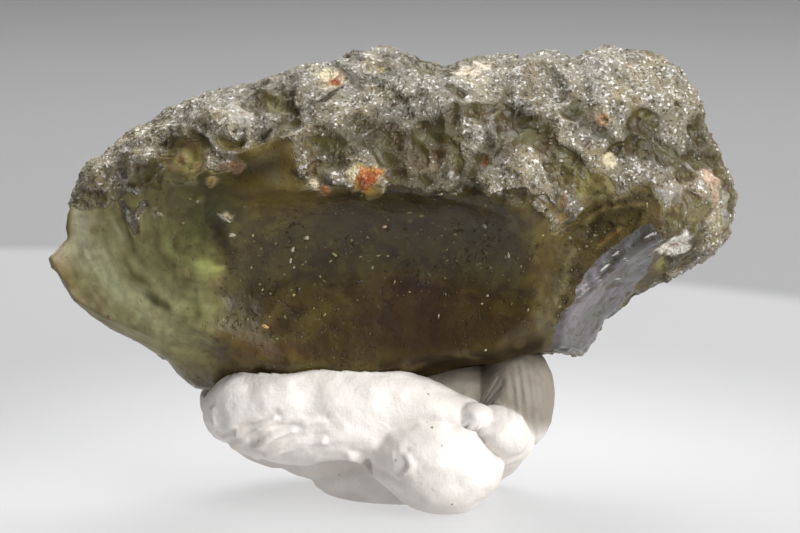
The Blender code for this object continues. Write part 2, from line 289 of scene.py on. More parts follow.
# Stains and crusts: place (along, up), half width, half height, colour, opacity.
Crust = namedtuple("Crust", "along up half_width half_height colour cover")
RUST = (0.30, 0.055, 0.008)
ORANGE = (0.45, 0.12, 0.012)
CREAM = (0.74, 0.66, 0.46)
OCHRE = (0.45, 0.30, 0.07)
CRUST_FADE = (1.1, 0.7)
CRUSTS = (
    Crust(-1.0, 1.5, 0.55, 0.8, OCHRE, 0.55),
    Crust(-1.1, 1.3, 0.3, 0.4, (0.08, 0.06, 0.03), 0.7),
    Crust(-1.5, 2.4, 1.2, 0.85, (0.62, 0.40, 0.08), 0.9),
    Crust(-1.4, 2.4, 0.95, 0.65, ORANGE, 1.0),
    Crust(-1.3, 2.3, 0.65, 0.45, RUST, 1.0),
    Crust(-2.4, 2.7, 0.4, 0.4, CREAM, 1.0),
    Crust(-0.5, 1.9, 0.25, 0.35, CREAM, 0.8),
    Crust(-4.7, 1.9, 0.6, 0.5, CREAM, 1.0),
    Crust(-4.1, 1.6, 0.5, 0.5, RUST, 1.0),
    Crust(-3.8, 8.7, 0.9, 0.8, CREAM, 1.0),
    Crust(-3.6, 8.5, 0.35, 0.3, RUST, 0.9),
    Crust(5.1, 9.2, 1.5, 1.2, (0.62, 0.565, 0.47), 1.0),
    Crust(13.2, 6.1, 0.45, 0.5, ORANGE, 0.7),
    Crust(13.3, 6.0, 0.2, 0.25, (0.05, 0.03, 0.01), 1.0),
    Crust(13.7, 3.5, 0.45, 0.5, CREAM, 0.9),
    Crust(5.9, 3.3, 0.3, 0.4, RUST, 0.6),
    Crust(10.7, 0.9, 0.3, 0.5, (0.30, 0.12, 0.04), 0.5),
    Crust(-0.7, 9.5, 0.3, 0.3, OCHRE, 0.6),
    Crust(18.0, -1.75, 1.2, 1.3, (0.84, 0.82, 0.76), 1.0),
    Crust(17.2, -2.9, 0.5, 0.8, (0.42, 0.42, 0.16), 0.6),
    Crust(20.1, 2.5, 0.6, 0.8, (0.66, 0.46, 0.34), 0.8),
    Crust(20.5, 1.2, 0.4, 0.8, (0.60, 0.42, 0.30), 0.7),
    Crust(21.3, 0.9, 0.35, 1.3, (0.46, 0.47, 0.44), 0.7),
    Crust(20.6, -1.1, 0.3, 0.3, (0.7, 0.64, 0.42), 0.6),
    Crust(-11.2, 2.2, 0.3, 0.3, OCHRE, 0.8),
    Crust(10.7, -0.1, 0.4, 0.4, OCHRE, 0.6),
    Crust(15.2, 9.8, 0.2, 0.2, RUST, 0.7),
    Crust(18.9, 3.3, 0.45, 0.35, (0.66, 0.64, 0.70), 0.6),
    Crust(-14.9, 0.3, 0.25, 0.3, CREAM, 0.5),
    Crust(-21.3, -2.2, 0.45, 0.7, (0.60, 0.50, 0.40), 0.5),
    Crust(-10.4, 0.0, 0.5, 0.28, CREAM, 1.0),
    Crust(-13.1, 3.7, 0.28, 0.9, (0.26, 0.11, 0.05), 0.6),
    Crust(-11.9, 3.2, 0.5, 0.3, (0.30, 0.14, 0.07), 0.5),
    Crust(-9.8, 3.2, 0.9, 0.5, (0.36, 0.19, 0.12), 0.5),
    Crust(19.2, 0.3, 1.1, 0.8, (0.32, 0.30, 0.19), 0.5),
    Crust(20.7, -0.4, 0.6, 0.6, (0.44, 0.42, 0.27), 0.6),
    Crust(17.6, 1.4, 1.1, 0.8, (0.34, 0.33, 0.34), 0.5),
    Crust(-9.4, 6.3, 1.2, 0.7, (0.60, 0.59, 0.55), 0.5),
    Crust(-7.2, 7.0, 1.2, 0.5, (0.30, 0.30, 0.17), 0.55),
)

# Colours of the broken glass: place, half width, half height, tint and milkiness. Each fades out softly.
Tint = namedtuple("Tint", "along up half_width half_height colour haze")
PLAIN_TINT = Tint(0.0, 0.0, 0.0, 0.0, (0.72, 0.575, 0.23), 0.10)
TINTS = (
    Tint(-17.0, -3.0, 5.2, 6.5, (0.56, 0.59, 0.50), 0.84),
    Tint(-12.2, -1.2, 2.8, 4.2, (0.46, 0.48, 0.31), 0.66),
    Tint(-14.4, -6.6, 3.8, 2.8, (0.66, 0.70, 0.61), 0.88),
    Tint(-12.0, -5.4, 1.3, 2.0, (0.62, 0.67, 0.50), 0.82),
    Tint(-12.0, 0.3, 1.5, 1.3, (0.34, 0.42, 0.24), 0.50),
    Tint(-11.6, 2.8, 2.6, 2.0, (0.15, 0.12, 0.075), 0.8),
    Tint(-8.0, -8.4, 2.8, 0.8, (0.46, 0.25, 0.08), 0.55),
    Tint(-8.4, -5.2, 1.9, 3.0, (0.30, 0.235, 0.11), 0.24),
    Tint(1.2, -6.2, 5.6, 1.6, (0.13, 0.075, 0.05), 0.55),
    Tint(1.5, -4.7, 3.6, 0.9, (0.24, 0.15, 0.15), 0.3),
    Tint(0.8, -7.9, 7.5, 2.0, (0.12, 0.07, 0.04), 0.55),
    Tint(-7.8, 2.7, 3.5, 2.6, (0.06, 0.044, 0.026), 0.97),
    Tint(13.2, -0.4, 3.6, 3.8, (0.085, 0.066, 0.038), 0.93),
    Tint(11.2, -4.4, 2.2, 3.3, (0.085, 0.066, 0.042), 0.9),
    Tint(16.0, 1.0, 2.0, 1.5, (0.13, 0.11, 0.08), 0.92),
    Tint(-21.4, -2.6, 0.9, 1.0, (1.0, 0.92, 0.92), 0.85),
    Tint(-18.8, -5.6, 1.2, 0.9, (0.50, 0.48, 0.42), 0.7),
)

# Bent streaks and grooves of colour on the broken glass: line, width, tint and milkiness.
Streak = namedtuple("Streak", "line width colour haze")
STREAKS = (
    Streak(((-20.0, 0.0), (-19.4, -2.2)), 1.3, (0.80, 0.83, 0.92), 0.88),
    Streak(((-19.0, -3.0), (-17.4, -4.6), (-15.4, -6.0)), 0.9, (0.74, 0.80, 0.80), 0.85),
    Streak(((-17.8, 0.8), (-17.0, -2.0), (-16.4, -3.7), (-14.4, -5.9)), 0.24, (0.30, 0.32, 0.21), 0.74),
    Streak(((-17.0, 0.8), (-16.7, -1.0), (-16.3, -2.2)), 0.16, (0.20, 0.21, 0.12), 0.7),
    Streak(((-17.6, -3.2), (-16.2, -5.0), (-14.8, -6.2)), 0.3, (0.78, 0.82, 0.74), 0.86),
    Streak(((-17.8, 0.2), (-17.1, -1.6)), 0.2, (0.75, 0.80, 0.80), 0.8),
    Streak(((-14.6, -0.4), (-14.2, -1.9), (-13.0, -2.8), (-11.6, -3.2)), 0.28, (0.74, 0.84, 0.56), 0.8),
    Streak(((-11.9, -3.0), (-10.7, -3.1)), 0.4, (0.72, 0.84, 0.46), 0.85),
    Streak(((-13.4, 0.9), (-12.0, 1.2)), 0.25, (0.60, 0.62, 0.40), 0.7),
    Streak(((-20.6, -4.8), (-18.4, -7.0), (-16.0, -8.4)), 0.35, (0.60, 0.54, 0.50), 0.75),
    Streak(((-12.8, -4.0), (-12.2, -6.0)), 0.35, (0.25, 0.25, 0.14), 0.6),
    Streak(((-11.0, -0.5), (-9.8, -2.8), (-9.6, -6.0)), 0.5, (0.26, 0.22, 0.12), 0.35),
    # A near-black, nearly opaque band along the stone's foot over the putty: painted shade.
    Streak(((-0.5, -9.6), (3.0, -9.2), (6.0, -8.8), (9.6, -8.0)), 1.3, (0.07, 0.048, 0.03), 0.95),
    Streak(((8.9, -4.8), (9.3, -7.0)), 0.3, (0.70, 0.62, 0.50), 0.3),
    Streak(((9.9, -5.6), (9.9, -8.0)), 0.35, (0.62, 0.57, 0.44), 0.4),
    Streak(((7.4, -0.6), (7.3, -3.0)), 0.25, (0.80, 0.75, 0.50), 0.22),
    Streak(((11.6, -2.2), (10.7, -4.4), (9.8, -6.4)), 0.2, (0.34, 0.30, 0.22), 0.85),
    Streak(((13.4, -2.6), (12.2, -4.2), (11.4, -6.2)), 0.16, (0.36, 0.30, 0.22), 0.85),
    Streak(((12.0, -0.4), (13.4, 0.6), (15.6, 0.7)), 0.14, (0.34, 0.28, 0.18), 0.85),
    Streak(((13.0, -1.6), (14.4, -0.8)), 0.16, (0.40, 0.26, 0.14), 0.85),
    Streak(((-8.4, -6.0), (-6.6, -7.4)), 0.3, (0.70, 0.55, 0.30), 0.28),
    Streak(((-10.4, -4.6), (-9.7, -7.6)), 0.8, (0.34, 0.29, 0.13), 0.42),
)

# The same for the breaks at the back.
REAR_TINTS = (
    Tint(-17.5, -2.4, 3.0, 4.0, (0.60, 0.62, 0.48), 0.62),
    Tint(-13.2, -4.6, 2.2, 3.0, (0.42, 0.38, 0.25), 0.5),
    Tint(-14.6, 1.8, 2.6, 1.5, (0.30, 0.26, 0.16), 0.45),
    Tint(4.6, -4.6, 2.8, 2.0, (0.34, 0.28, 0.17), 0.45),
    Tint(9.4, -3.4, 2.2, 2.6, (0.54, 0.54, 0.38), 0.55),
    Tint(1.2, -7.2, 2.2, 1.4, (0.50, 0.40, 0.24), 0.4),
)

# Where the blows fell that struck off the breaks at the back, and the step between their ripples.
REAR_BLOWS = ((-22.6, -3.6), (12.6, -9.0))
REAR_RIPPLE = 1.1
REAR_RIPPLE_HEIGHT = 0.055

# Shade of the frosted skin, fading out softly in the same way.
PLAIN_SHADE = Tint(0.0, 0.0, 0.0, 0.0, (0.90, 0.86, 0.76), 0.0)
SHADES = (
    Tint(-15.5, 4.2, 5.5, 2.6, (1.28, 1.23, 1.07), 0.0),
    Tint(-11.0, 6.0, 1.6, 1.2, (1.00, 0.97, 0.90), 0.0),
    Tint(-2.0, 4.0, 7.0, 2.2, (0.90, 0.81, 0.63), 0.0),
    Tint(8.0, 3.6, 4.0, 2.0, (1.10, 1.05, 0.92), 0.0),
    Tint(10.6, 7.8, 1.6, 1.4, (0.66, 0.64, 0.54), 0.0),
    Tint(-2.6, 9.4, 3.4, 1.6, (1.05, 1.02, 0.96), 0.0),
    Tint(5.0, 8.8, 2.2, 1.5, (1.12, 1.08, 1.0), 0.0),
    Tint(16.0, 8.8, 4.4, 2.4, (1.16, 1.12, 1.02), 0.0),
    Tint(19.2, 0.6, 2.8, 2.8, (1.3, 1.22, 1.06), 0.0),
    Tint(17.0, 3.0, 1.4, 1.6, (0.74, 0.71, 0.68), 0.0),
)
# How much redder or bluer the skin's shade turns with its noise.
WARMTH = (0.10, 0.02, -0.16)

# The line that the fresh chip's grey colour follows, and the distance from it over which it ends.
CHIP_LINE = ((15.1, -1.9), (14.0, -3.6), (11.9, -7.6))
CHIP_FADE = (1.9, 1.5)

# Grains and crumbs held at the face of the clear glass: place, half length, half width, turn in degrees
# and colour. More, smaller ones are strewn by number.
Grain = namedtuple("Grain", "along up length width turn colour")
PALE = (0.38, 0.345, 0.25)
STRAW = (0.30, 0.24, 0.10)
LIME = (0.20, 0.21, 0.08)
DARK = (0.045, 0.033, 0.016)
OLIVE = (0.13, 0.11, 0.05)
GRAINS = (
    Grain(-14.7, 0.2, 0.28, 0.14, -20.0, PALE),
    Grain(-13.2, -0.3, 0.16, 0.10, 0.0, STRAW),
    Grain(-12.2, 0.9, 0.14, 0.10, 60.0, PALE),
    Grain(-10.6, 0.0, 0.50, 0.16, -35.0, PALE),
    Grain(-10.1, -1.2, 0.24, 0.12, 10.0, PALE),
    Grain(-12.7, 1.1, 0.12, 0.08, 0.0, STRAW),
    Grain(-0.5, -0.7, 0.18, 0.10, 20.0, (0.62, 0.40, 0.24)),
    Grain(5.85, -0.6, 0.16, 0.14, 0.0, PALE),
    Grain(1.1, 0.3, 0.22, 0.06, 5.0, STRAW),
    Grain(-3.6, -2.4, 0.20, 0.08, -40.0, LIME),
    Grain(-3.9, -2.8, 0.12, 0.07, 30.0, LIME),
    Grain(-0.9, -2.4, 0.16, 0.06, 10.0, STRAW),
    Grain(-0.3, -2.4, 0.12, 0.06, -10.0, STRAW),
    Grain(-5.4, -1.4, 0.20, 0.14, 20.0, PALE),
    Grain(-6.2, -2.1, 0.18, 0.12, 70.0, PALE),
    Grain(-6.3, -2.8, 0.20, 0.07, 80.0, PALE),
    Grain(-6.2, -3.3, 0.10, 0.06, 60.0, PALE),
    Grain(7.45, -2.4, 0.22, 0.08, 88.0, PALE),
    Grain(7.15, -2.6, 0.16, 0.06, 80.0, STRAW),
    Grain(6.0, -5.0, 0.10, 0.08, 0.0, PALE),
    Grain(5.7, -5.5, 0.08, 0.06, 0.0, PALE),
    Grain(5.9, -8.4, 0.12, 0.08, 50.0, PALE),
    Grain(3.0, -6.3, 0.16, 0.05, 85.0, (0.40, 0.28, 0.16)),
    Grain(8.6, -5.9, 0.12, 0.06, 75.0, PALE),
    Grain(9.4, -1.3, 0.14, 0.08, 30.0, STRAW),
    Grain(-2.0, -4.1, 0.24, 0.12, 20.0, DARK),
    Grain(2.4, -3.6, 0.26, 0.10, -30.0, DARK),
    Grain(-5.9, -4.7, 0.22, 0.14, 60.0, DARK),
    Grain(-7.2, -5.3, 0.18, 0.08, 0.0, DARK),
    Grain(-0.2, -3.4, 0.20, 0.07, 0.0, DARK),
    Grain(-18.0, -6.4, 0.20, 0.10, -35.0, (0.25, 0.16, 0.10)),
    Grain(-8.0, -6.9, 0.26, 0.12, -20.0, (0.50, 0.30, 0.10)),
)
STREWN_GRAINS = 460
STREWN_SEED = 41
# Half length of the shortest strewn grain and how much longer the longest is, widths as shares of the
# length, and colours, with the commonest repeated.
STREWN_SHORTEST = 0.035
STREWN_LONGER = 0.12
STREWN_WIDTHS = (0.35, 0.9)
STREWN_COLOURS = (STRAW, LIME, OLIVE, OLIVE, OLIVE, OLIVE, OLIVE, OLIVE, DARK)
# Share of clear glass under which no grain is strewn, the least bare glass under any grain, and how far
# the face there turns to the front.
CLOUDED = 0.35
BARE_ENOUGH = 0.92
TURNED_FRONT = -0.3
# Squares along each side of a grain's ball, how far its points move, and its height as a share of width.
GRAIN_SQUARES = 4
GRAIN_BUMPS = 0.36
GRAIN_FLATNESS = 0.5

# ---- finer forms of the putty, seen from the front ----
# Widths over which lumps run into each other, and over which the flap runs into its fold.
FOLD_SOFTNESS = 0.16
FLAP_SOFTNESS = 1.6
# Gap left between the putty and the stone, and the distances from the stone and from the floor over
# which the finer forms fade in.
PUTTY_TOUCH = 0.04
STONE_FADE = (0.05, 0.6)
FLOOR_FADE = (0.02, 0.5)
# The middle of the lump, the half sizes of the skeleton inside it, how far its rays reach, and the shape
# of its grid.
PUTTY_MIDDLE = (-0.6, 1.8, -13.9)
PUTTY_SKELETON = (8.0, 4.6, -1.5)
PUTTY_REACH = (15.0, 11.0, 8.5)
PUTTY_ASPECT = 0.62
PUTTY_CROWD = 0.95
PUTTY_LUMPINESS = ((3.1, 0.22, 201), (1.3, 0.15, 202), (0.6, 0.06, 203))
# Where the putty is darkened with painted shade: along, up, the least share on a shaded lump, and how far a
# shaded lump stands out of the rest.
PAINTED_SHADE_ALONG = (-0.5, 2.0)
PAINTED_SHADE_UP = (-14.6, -12.8)
PAINTED_SHADE_LEAST = 0.25
PAINTED_SHADE_EDGE = (-0.25, 0.15)
# Creases: line, width and depth. Each has a roll of putty above it. CREASE_DEPTH and ROLL_HEIGHT are
# shares of the row's depth, and ROLL_RISE and ROLL_WIDTH of its width.
Crease = namedtuple("Crease", "line width depth")
CREASE_DEPTH = 1.35
ROLL_HEIGHT = 0.6
ROLL_RISE = 1.8
ROLL_WIDTH = 1.2
CREASES = (
    Crease(((-9.6, -13.7), (-8.3, -13.3), (-7.3, -12.7)), 0.20, 0.26),
    Crease(((-8.8, -14.6), (-7.5, -13.8), (-6.2, -13.5)), 0.22, 0.28),
    Crease(((-7.8, -15.1), (-5.9, -14.4), (-4.3, -14.1)), 0.24, 0.24),
    Crease(((-10.2, -14.6), (-9.4, -14.9), (-8.6, -15.4)), 0.18, 0.16),
    Crease(((-5.4, -13.0), (-4.2, -12.9)), 0.25, 0.14),
    Crease(((-11.4, -12.2), (-11.2, -13.2)), 0.15, 0.12),
    Crease(((4.6, -13.2), (5.2, -13.6), (5.9, -13.5)), 0.28, 0.2),
    Crease(((0.8, -16.2), (1.2, -15.6), (1.0, -15.0)), 0.18, 0.2),
    Crease(((-0.4, -16.6), (0.2, -17.2)), 0.2, 0.2),
    Crease(((-2.6, -15.2), (-1.7, -15.7), (-1.1, -16.4)), 0.22, 0.2),
    Crease(((-11.2, -13.9), (-10.7, -14.2)), 0.16, 0.12),
)

# Patches of pressed wrinkles and of finger ridges, with the height of the waves and the step between them.
Print = namedtuple("Print", "along up half_width half_height strength")
WRINKLES = Print(-7.6, -14.3, 2.6, 1.3, 1.0)
WRINKLE_HEIGHT = 0.11
WRINKLE_STEP = 0.95
FINGER_PRINTS = (
    Print(9.2, -11.6, 1.9, 2.6, 1.0),
    Print(0.2, -15.9, 1.6, 1.6, 0.6),
)
FINGER_RIDGE_HEIGHT = 0.045
FINGER_RIDGE_STEP = 0.52

# Squares along and up each face of the stone's ball, and round and across the putty's.
STONE_GRID = (310, 158)
PUTTY_GRID = (270, 180)

# ---- patterns of the finishes: size in millimetres, detail, roughness and distortion of each noise ----
GRAIN = (0.19, 2.0, 0.65)
DUST = (0.75, 3.0, 0.6)
MOTTLE = (1.4, 5.0, 0.62, 0.6)
EDGE = (0.5, 4.0, 0.7)
FLECKS = (0.42, 4.0, 0.7)
PALE_FLECKS = (0.4, 4.0, 0.7, 0.5)
CHIP_MARKS = (0.9, 4.0, 0.7, 0.6)
NICKS = (0.34, 3.0, 0.6, 0.4)
NICK_PATCHES = (2.4, 2.0, 0.5)
SATIN = (0.5, 4.0, 0.6)
RUGGED = (0.34, 4.0, 0.65)
HELD_GRAIN_TINT = (0.12, 3.0)
HELD_GRAIN_POLISH = (0.1,)
PUTTY_CLOUDS = (3.0, 4.0, 0.55)
PUTTY_GRAIN = (0.3, 5.0, 0.65)
# Size of the frost's cells, step between the putty's specks, raggedness of the skin's edge, where the
# mottle turns from green to brown, and heights of the bumps. Lengths are in millimetres.
FACET_SIZE = 0.165
SPECK_STEP = 1.3
EDGE_RAGGEDNESS = 1.6
MOTTLE_SPREAD = (0.36, 0.64)
GLASS_BUMP = 0.1
PUTTY_BUMP = 0.07
# Shares of the light that each finish keeps from passing.
PALE_MILK = 0.5
FLECK_MILK = 0.7
COVER_MILK = 0.75
CHIP_MILK = 0.75
# Roughness of the chip, the crumbs and the putty, and the gloss on the chip and on the frost's grains.
CHIP_ROUGHNESS = 0.3
CRUMB_ROUGHNESS = 0.8
PUTTY_ROUGHNESS = 0.6
CHIP_GLOSS = 0.35
GRAIN_GLOSS = 0.3
GLOSS_ROUGHNESS = 0.1
DIRT = (0.30, 0.26, 0.22)

# ---- the studio: the floor's profile in millimetres, then places on it in metres ----
FLOOR_MIDDLE = 0.001
FLOOR_RADIUS = 420.0
FLOOR_BEND = 160.0
WALL_TOP = 420.0
FLOOR_STEPS = 11
FLOOR_BEND_STEPS = 16
FLOOR_SIDES = 96
# The round edge where the pale floor turns into a greyer one: its centre's shift and its radii.
FLOOR_EDGE_SHIFT = (0.0396, 0.0273, 0.0)
FLOOR_EDGE = (0.116, 0.126)
# Shares of the glow at the left, at the right and right round the stand, and where they run together.
GLOW_SIDES = (0.5, 0.6)
GLOW_TURN = 0.04
GLOW_NEAR = 1.2
GLOW_FADE = (0.012, 0.055)
SURROUND = (0.76, 0.76, 0.77, 1.0)
# Name, place, target and size of each light, in millimetres.
STUDIO_LIGHTS = (
    ("top_light", (-10.0, 50.0, 260.0), (0.0, 0.0, 15.0), (280.0, 220.0)),
    ("side_light", (300.0, -250.0, 200.0), (0.0, 0.0, 10.0), (340.0, 280.0)),
    ("back_light", (0.0, 210.0, 260.0), (0.0, 210.0, 0.0), (300.0, 180.0)),
)
# The point that the camera looks at, in the leaning frame, and the width of its sensor.
VIEW_MIDDLE = (0.55, 0.0, -3.13)
SENSOR_WIDTH = 36.0


# ---------------------------------------------------------------- numpy surfaces


def blend_step(low, high, value):
    """Smooth step: 0 below low, 1 above high, and 3t^2 - 2t^3 between them."""
    share = np.clip((value - low) / (high - low), 0.0, 1.0)
    return share * share * (3.0 - 2.0 * share)


def soft_min(first, second, width):
    """The smaller of two fields, rounded where they are within width of each other."""
    share = np.clip(0.5 + 0.5 * (second - first) / width, 0.0, 1.0)
    return second + (first - second) * share - width * share * (1.0 - share)


def bell(distance, width):
    """Bell curve: 1 at no distance, and about a third at the width."""
    return np.exp(-((distance / width) ** 2))


def cell_random(cells, seed):
    """A repeatable number from 0 to 1 for each whole-numbered cell, by mixing its three numbers."""
    columns = cells.astype(np.int64)
    mixed = (columns[..., 0] * 73856093) ^ (columns[..., 1] * 19349663) ^ (columns[..., 2] * 83492791)
    mixed = (mixed ^ (seed * 40503)) & 0xFFFFFFFF
    mixed = ((mixed ^ (mixed >> 15)) * 1274126177) & 0xFFFFFFFF
    mixed = ((mixed ^ (mixed >> 13)) * 668265263) & 0xFFFFFFFF
    return ((mixed ^ (mixed >> 16)) & 0xFFFFFF) / float(0xFFFFFF)


def soft_noise(points, size, seed):
    """Value noise from -1 to 1: random numbers at the corners of cubes of one size, blended with the
    smooth step along each axis."""
    scaled = points / size
    base = np.floor(scaled)
    share = scaled - base
    share = share * share * (3.0 - 2.0 * share)
    total = np.zeros(len(points))
    for corner in np.ndindex(2, 2, 2):
        weight = np.prod(np.where(corner, share, 1.0 - share), axis=1)
        total += weight * cell_random(base + np.array(corner), seed)
    return 2.0 * total - 1.0


def noise_layers(points, layers):
    """Sum of soft noises, each given by its size in millimetres, its height and its seed."""
    return sum(height * soft_noise(points, size, seed) for size, height, seed in layers)


def noise_gaps(points, low, high, size, seed):
    """A soft noise turned into a mask from 0, where it leaves gaps in a form, to 1."""
    return blend_step(low, high, soft_noise(points, size, seed))


def ridge_noise(points, size, seed, level):
    """Sharp ridges where a soft noise passes through zero: its distance from 1 or -1, cubed, less the
    level that brings its mean near zero."""
    return (1.0 - np.abs(soft_noise(points, size, seed))) ** 3 - level


def cells_noise(points, size, seed):
    """Distances to the nearest and second nearest of one random point in each cube, in cube sides."""
    scaled = points / size
    base = np.floor(scaled)
    nearest = np.full(len(points), 9.0)
    second = np.full(len(points), 9.0)
    for step in np.ndindex(3, 3, 3):
        cell = base + np.array(step) - 1.0
        spot = cell + np.column_stack([cell_random(cell, seed + axis) for axis in range(3)])
        reach = np.linalg.norm(scaled - spot, axis=1)
        second = np.minimum(second, np.maximum(reach, nearest))
        nearest = np.minimum(nearest, reach)
    return nearest, second


def ball_grid(columns, rows, aspect, crowd):
    """A closed ball from two square grids, as unit directions and quads.

    Each square is blown up to a disc: a grid place keeps its bearing, and the larger of its two
    coordinates becomes its distance from the middle. The distance, raised to crowd, is the angle from
    the pole, which is -back on the first grid and +back on the second. Bearings are flattened by aspect,
    so that a long ball has even squares. The rim's points are shared.
    """
    across, upward = np.meshgrid(np.linspace(-1.0, 1.0, columns + 1), np.linspace(-1.0, 1.0, rows + 1))
    reach = np.maximum(np.abs(across), np.abs(upward))
    bearing = np.arctan2(upward * aspect, across)
    angle = 0.5 * math.pi * reach**crowd
    flat = np.sin(angle)
    pole = np.where(reach > 1.0 - 1e-9, 0.0, np.cos(angle))
    grid = np.stack((flat * np.cos(bearing), -pole, flat * np.sin(bearing)), axis=-1)
    front = grid.reshape(-1, 3)
    number = np.arange(len(front)).reshape(rows + 1, columns + 1)
    inner = np.zeros_like(number, dtype=bool)
    inner[1:-1, 1:-1] = True
    behind = number.copy()
    behind[inner] = len(front) + np.arange(inner.sum())
    back = grid[inner] * np.array((1.0, -1.0, 1.0))
    squares = (grid_quads(number), grid_quads(behind)[:, ::-1])
    return np.vstack((front, back)), np.vstack(squares)


def grid_quads(number):
    """The four corners of each square of a grid of point numbers, in order round the square."""
    corners = (number[:-1, :-1], number[:-1, 1:], number[1:, 1:], number[1:, :-1])
    return np.stack(corners, axis=-1).reshape(-1, 4)


def surface_normals(points, quads):
    """Unit normals at points: the sum of the cross products of each quad's diagonals, made unit long."""
    diagonals = points[quads[:, 2]] - points[quads[:, 0]], points[quads[:, 3]] - points[quads[:, 1]]
    areas = np.cross(*diagonals)
    normals = np.zeros_like(points)
    for axis in range(3):
        weights = np.repeat(areas[:, axis], 4)
        normals[:, axis] = np.bincount(quads.ravel(), weights=weights, minlength=len(points))
    return normals / np.maximum(np.linalg.norm(normals, axis=1), 1e-12)[:, None]


def walk_out(origins, ends, field, steps=56, halvings=14):
    """Where each ray from an origin to its end first leaves the solid.

    field(share, points) is positive inside. The ray is walked in even steps to the first place outside,
    and the last step is halved until the place is found.
    """
    rays = ends - origins
    inside_at = np.zeros(len(origins))
    outside_at = np.ones(len(origins))
    walking = np.ones(len(origins), dtype=bool)
    for share in np.linspace(1.0 / steps, 1.0, steps):
        value = field(np.full(len(origins), share), origins + rays * share)
        left = walking & (value <= 0.0)
        outside_at[left] = share
        walking &= ~left
        inside_at[walking] = share
    for _ in range(halvings):
        middle = 0.5 * (inside_at + outside_at)
        inside = field(middle, origins + rays * middle[:, None]) > 0.0
        inside_at = np.where(inside, middle, inside_at)
        outside_at = np.where(inside, outside_at, middle)
    return origins + rays * inside_at[:, None]


def ellipsoid_depth(points, shape):
    """How deep points lie inside a boxy ellipsoid, in millimetres, negative outside it.

    Each coordinate in the ellipsoid's own axes is divided by its radius; the three shares are raised to
    2 / boxy, added and brought back, which gives 1 on the surface.
    """
    turn = math.radians(shape.turn)
    along, back, up = (points - np.array(shape.centre)).T
    local = np.stack((along * math.cos(turn) + up * math.sin(turn), back,
                      up * math.cos(turn) - along * math.sin(turn)))
    shares = np.abs(local) / np.array(shape.radii)[:, None]
    power = 2.0 / shape.boxy
    return (1.0 - (shares**power).sum(axis=0) ** (1.0 / power)) * min(shape.radii)


def line_distance(along, up, line):
    """Distance in the outline's plane from points to a bent line."""
    best = np.full(len(along), FAR_OFF)
    for (x0, z0), (x1, z1) in zip(line[:-1], line[1:]):
        run, rise = x1 - x0, z1 - z0
        share = np.clip(((along - x0) * run + (up - z0) * rise) / (run * run + rise * rise), 0.0, 1.0)
        best = np.minimum(best, np.hypot(along - x0 - share * run, up - z0 - share * rise))
    return best


def nearest_line(along, up, lines):
    """Distance in the outline's plane from points to the nearest of several bent lines."""
    return np.min([line_distance(along, up, line) for line in lines], axis=0)


def oval_share(along, up, spot):
    """0 at the middle of an oval spot and 1 at its rim."""
    return np.hypot((along - spot.along) / spot.half_width, (up - spot.up) / spot.half_height)


# ---------------------------------------------------------------- the stone's body


def outline_radius(angle):
    """Distance from the outline's centre to the outline, read round the closed list of points."""
    points = np.array(OUTLINE)
    corners = np.arctan2(points[:, 1], points[:, 0])
    order = np.argsort(corners)
    return np.interp(angle, corners[order], np.hypot(*points[order].T), period=2.0 * math.pi)


def plain_radius(angle):
    """Distance from the centre to the plain oval that the outline fades into."""
    return 1.0 / np.hypot(np.cos(angle) / PLAIN_HALF[0], np.sin(angle) / PLAIN_HALF[1])


def hills(points, length):
    """Hills from 1 to -1: three crossed waves of unlike lengths."""
    along, back, up = (points * (2.0 * math.pi / length)).T
    return (
        np.sin(along + 0.7 * up + 1.1)
        + np.sin(0.8 * up - 0.6 * along + 0.9 * back + 2.0)
        + np.sin(1.3 * back + 0.5 * along + 0.4)
    ) / 3.0


def skin_rise(points):
    """Height of the etched skin's hills over the plain pillow."""
    return KNOLL_HEIGHT * hills(points, KNOLL_LENGTH) + KNUCKLE_HEIGHT * hills(points, KNUCKLE_LENGTH)


def stone_body(directions):
    """The unchipped stone: each unit direction is stretched to the outline in its plane and to the front
    or back depth across it, both raised to FULLNESS, bowed backward, and the hills are laid on."""
    along, back, up = directions.T
    flat = np.hypot(along, up)
    angle = np.arctan2(up, along)
    plain = plain_radius(angle)
    reach = (plain + (outline_radius(angle) - plain) * flat**OUTLINE_FADE) * flat**FULLNESS
    depth = np.where(back < 0.0, -STONE_FRONT, STONE_BACK) * np.abs(back) ** FULLNESS
    points = np.column_stack((reach * np.cos(angle), depth, reach * np.sin(angle)))
    points[:, 1] += BACKWARD_BOW * (points[:, 2] / PLAIN_HALF[1]) ** 2
    return points + directions * (skin_rise(points) * np.sqrt(np.abs(back)))[:, None]


def stone_distance(points):
    """Rough distance from points to the chipped stone, in millimetres, positive outside it.

    The pillow's own formula is turned round: the shares of the reach and of the depth, raised to
    2 / FULLNESS, added and brought back, are 1 on its surface. A scoop's inside counts as outside.
    """
    along, back, up = points.T
    angle = np.arctan2(up, along)
    plain = plain_radius(angle)
    outline = outline_radius(angle)
    radius = np.hypot(along, up)
    bowed = back - BACKWARD_BOW * (up / PLAIN_HALF[1]) ** 2
    reach = outline
    for _ in range(3):
        flat = np.clip(radius / reach, 0.0, 1.0) ** (1.0 / FULLNESS)
        reach = plain + (outline - plain) * flat**OUTLINE_FADE
    power = 2.0 / FULLNESS
    depth = np.where(bowed < 0.0, STONE_FRONT, STONE_BACK)
    share = ((radius / reach) ** power + (np.abs(bowed) / depth) ** power) ** (1.0 / power)
    size = np.linalg.norm(points, axis=1) / np.maximum(share, 0.05)
    away = (share - 1.0) * size - skin_rise(points) * np.sqrt(np.clip(np.abs(bowed) / depth, 0.0, 1.0))
    for scoop in SCOOPS:
        away = np.maximum(away, ellipsoid_depth(points, scoop))
    return away


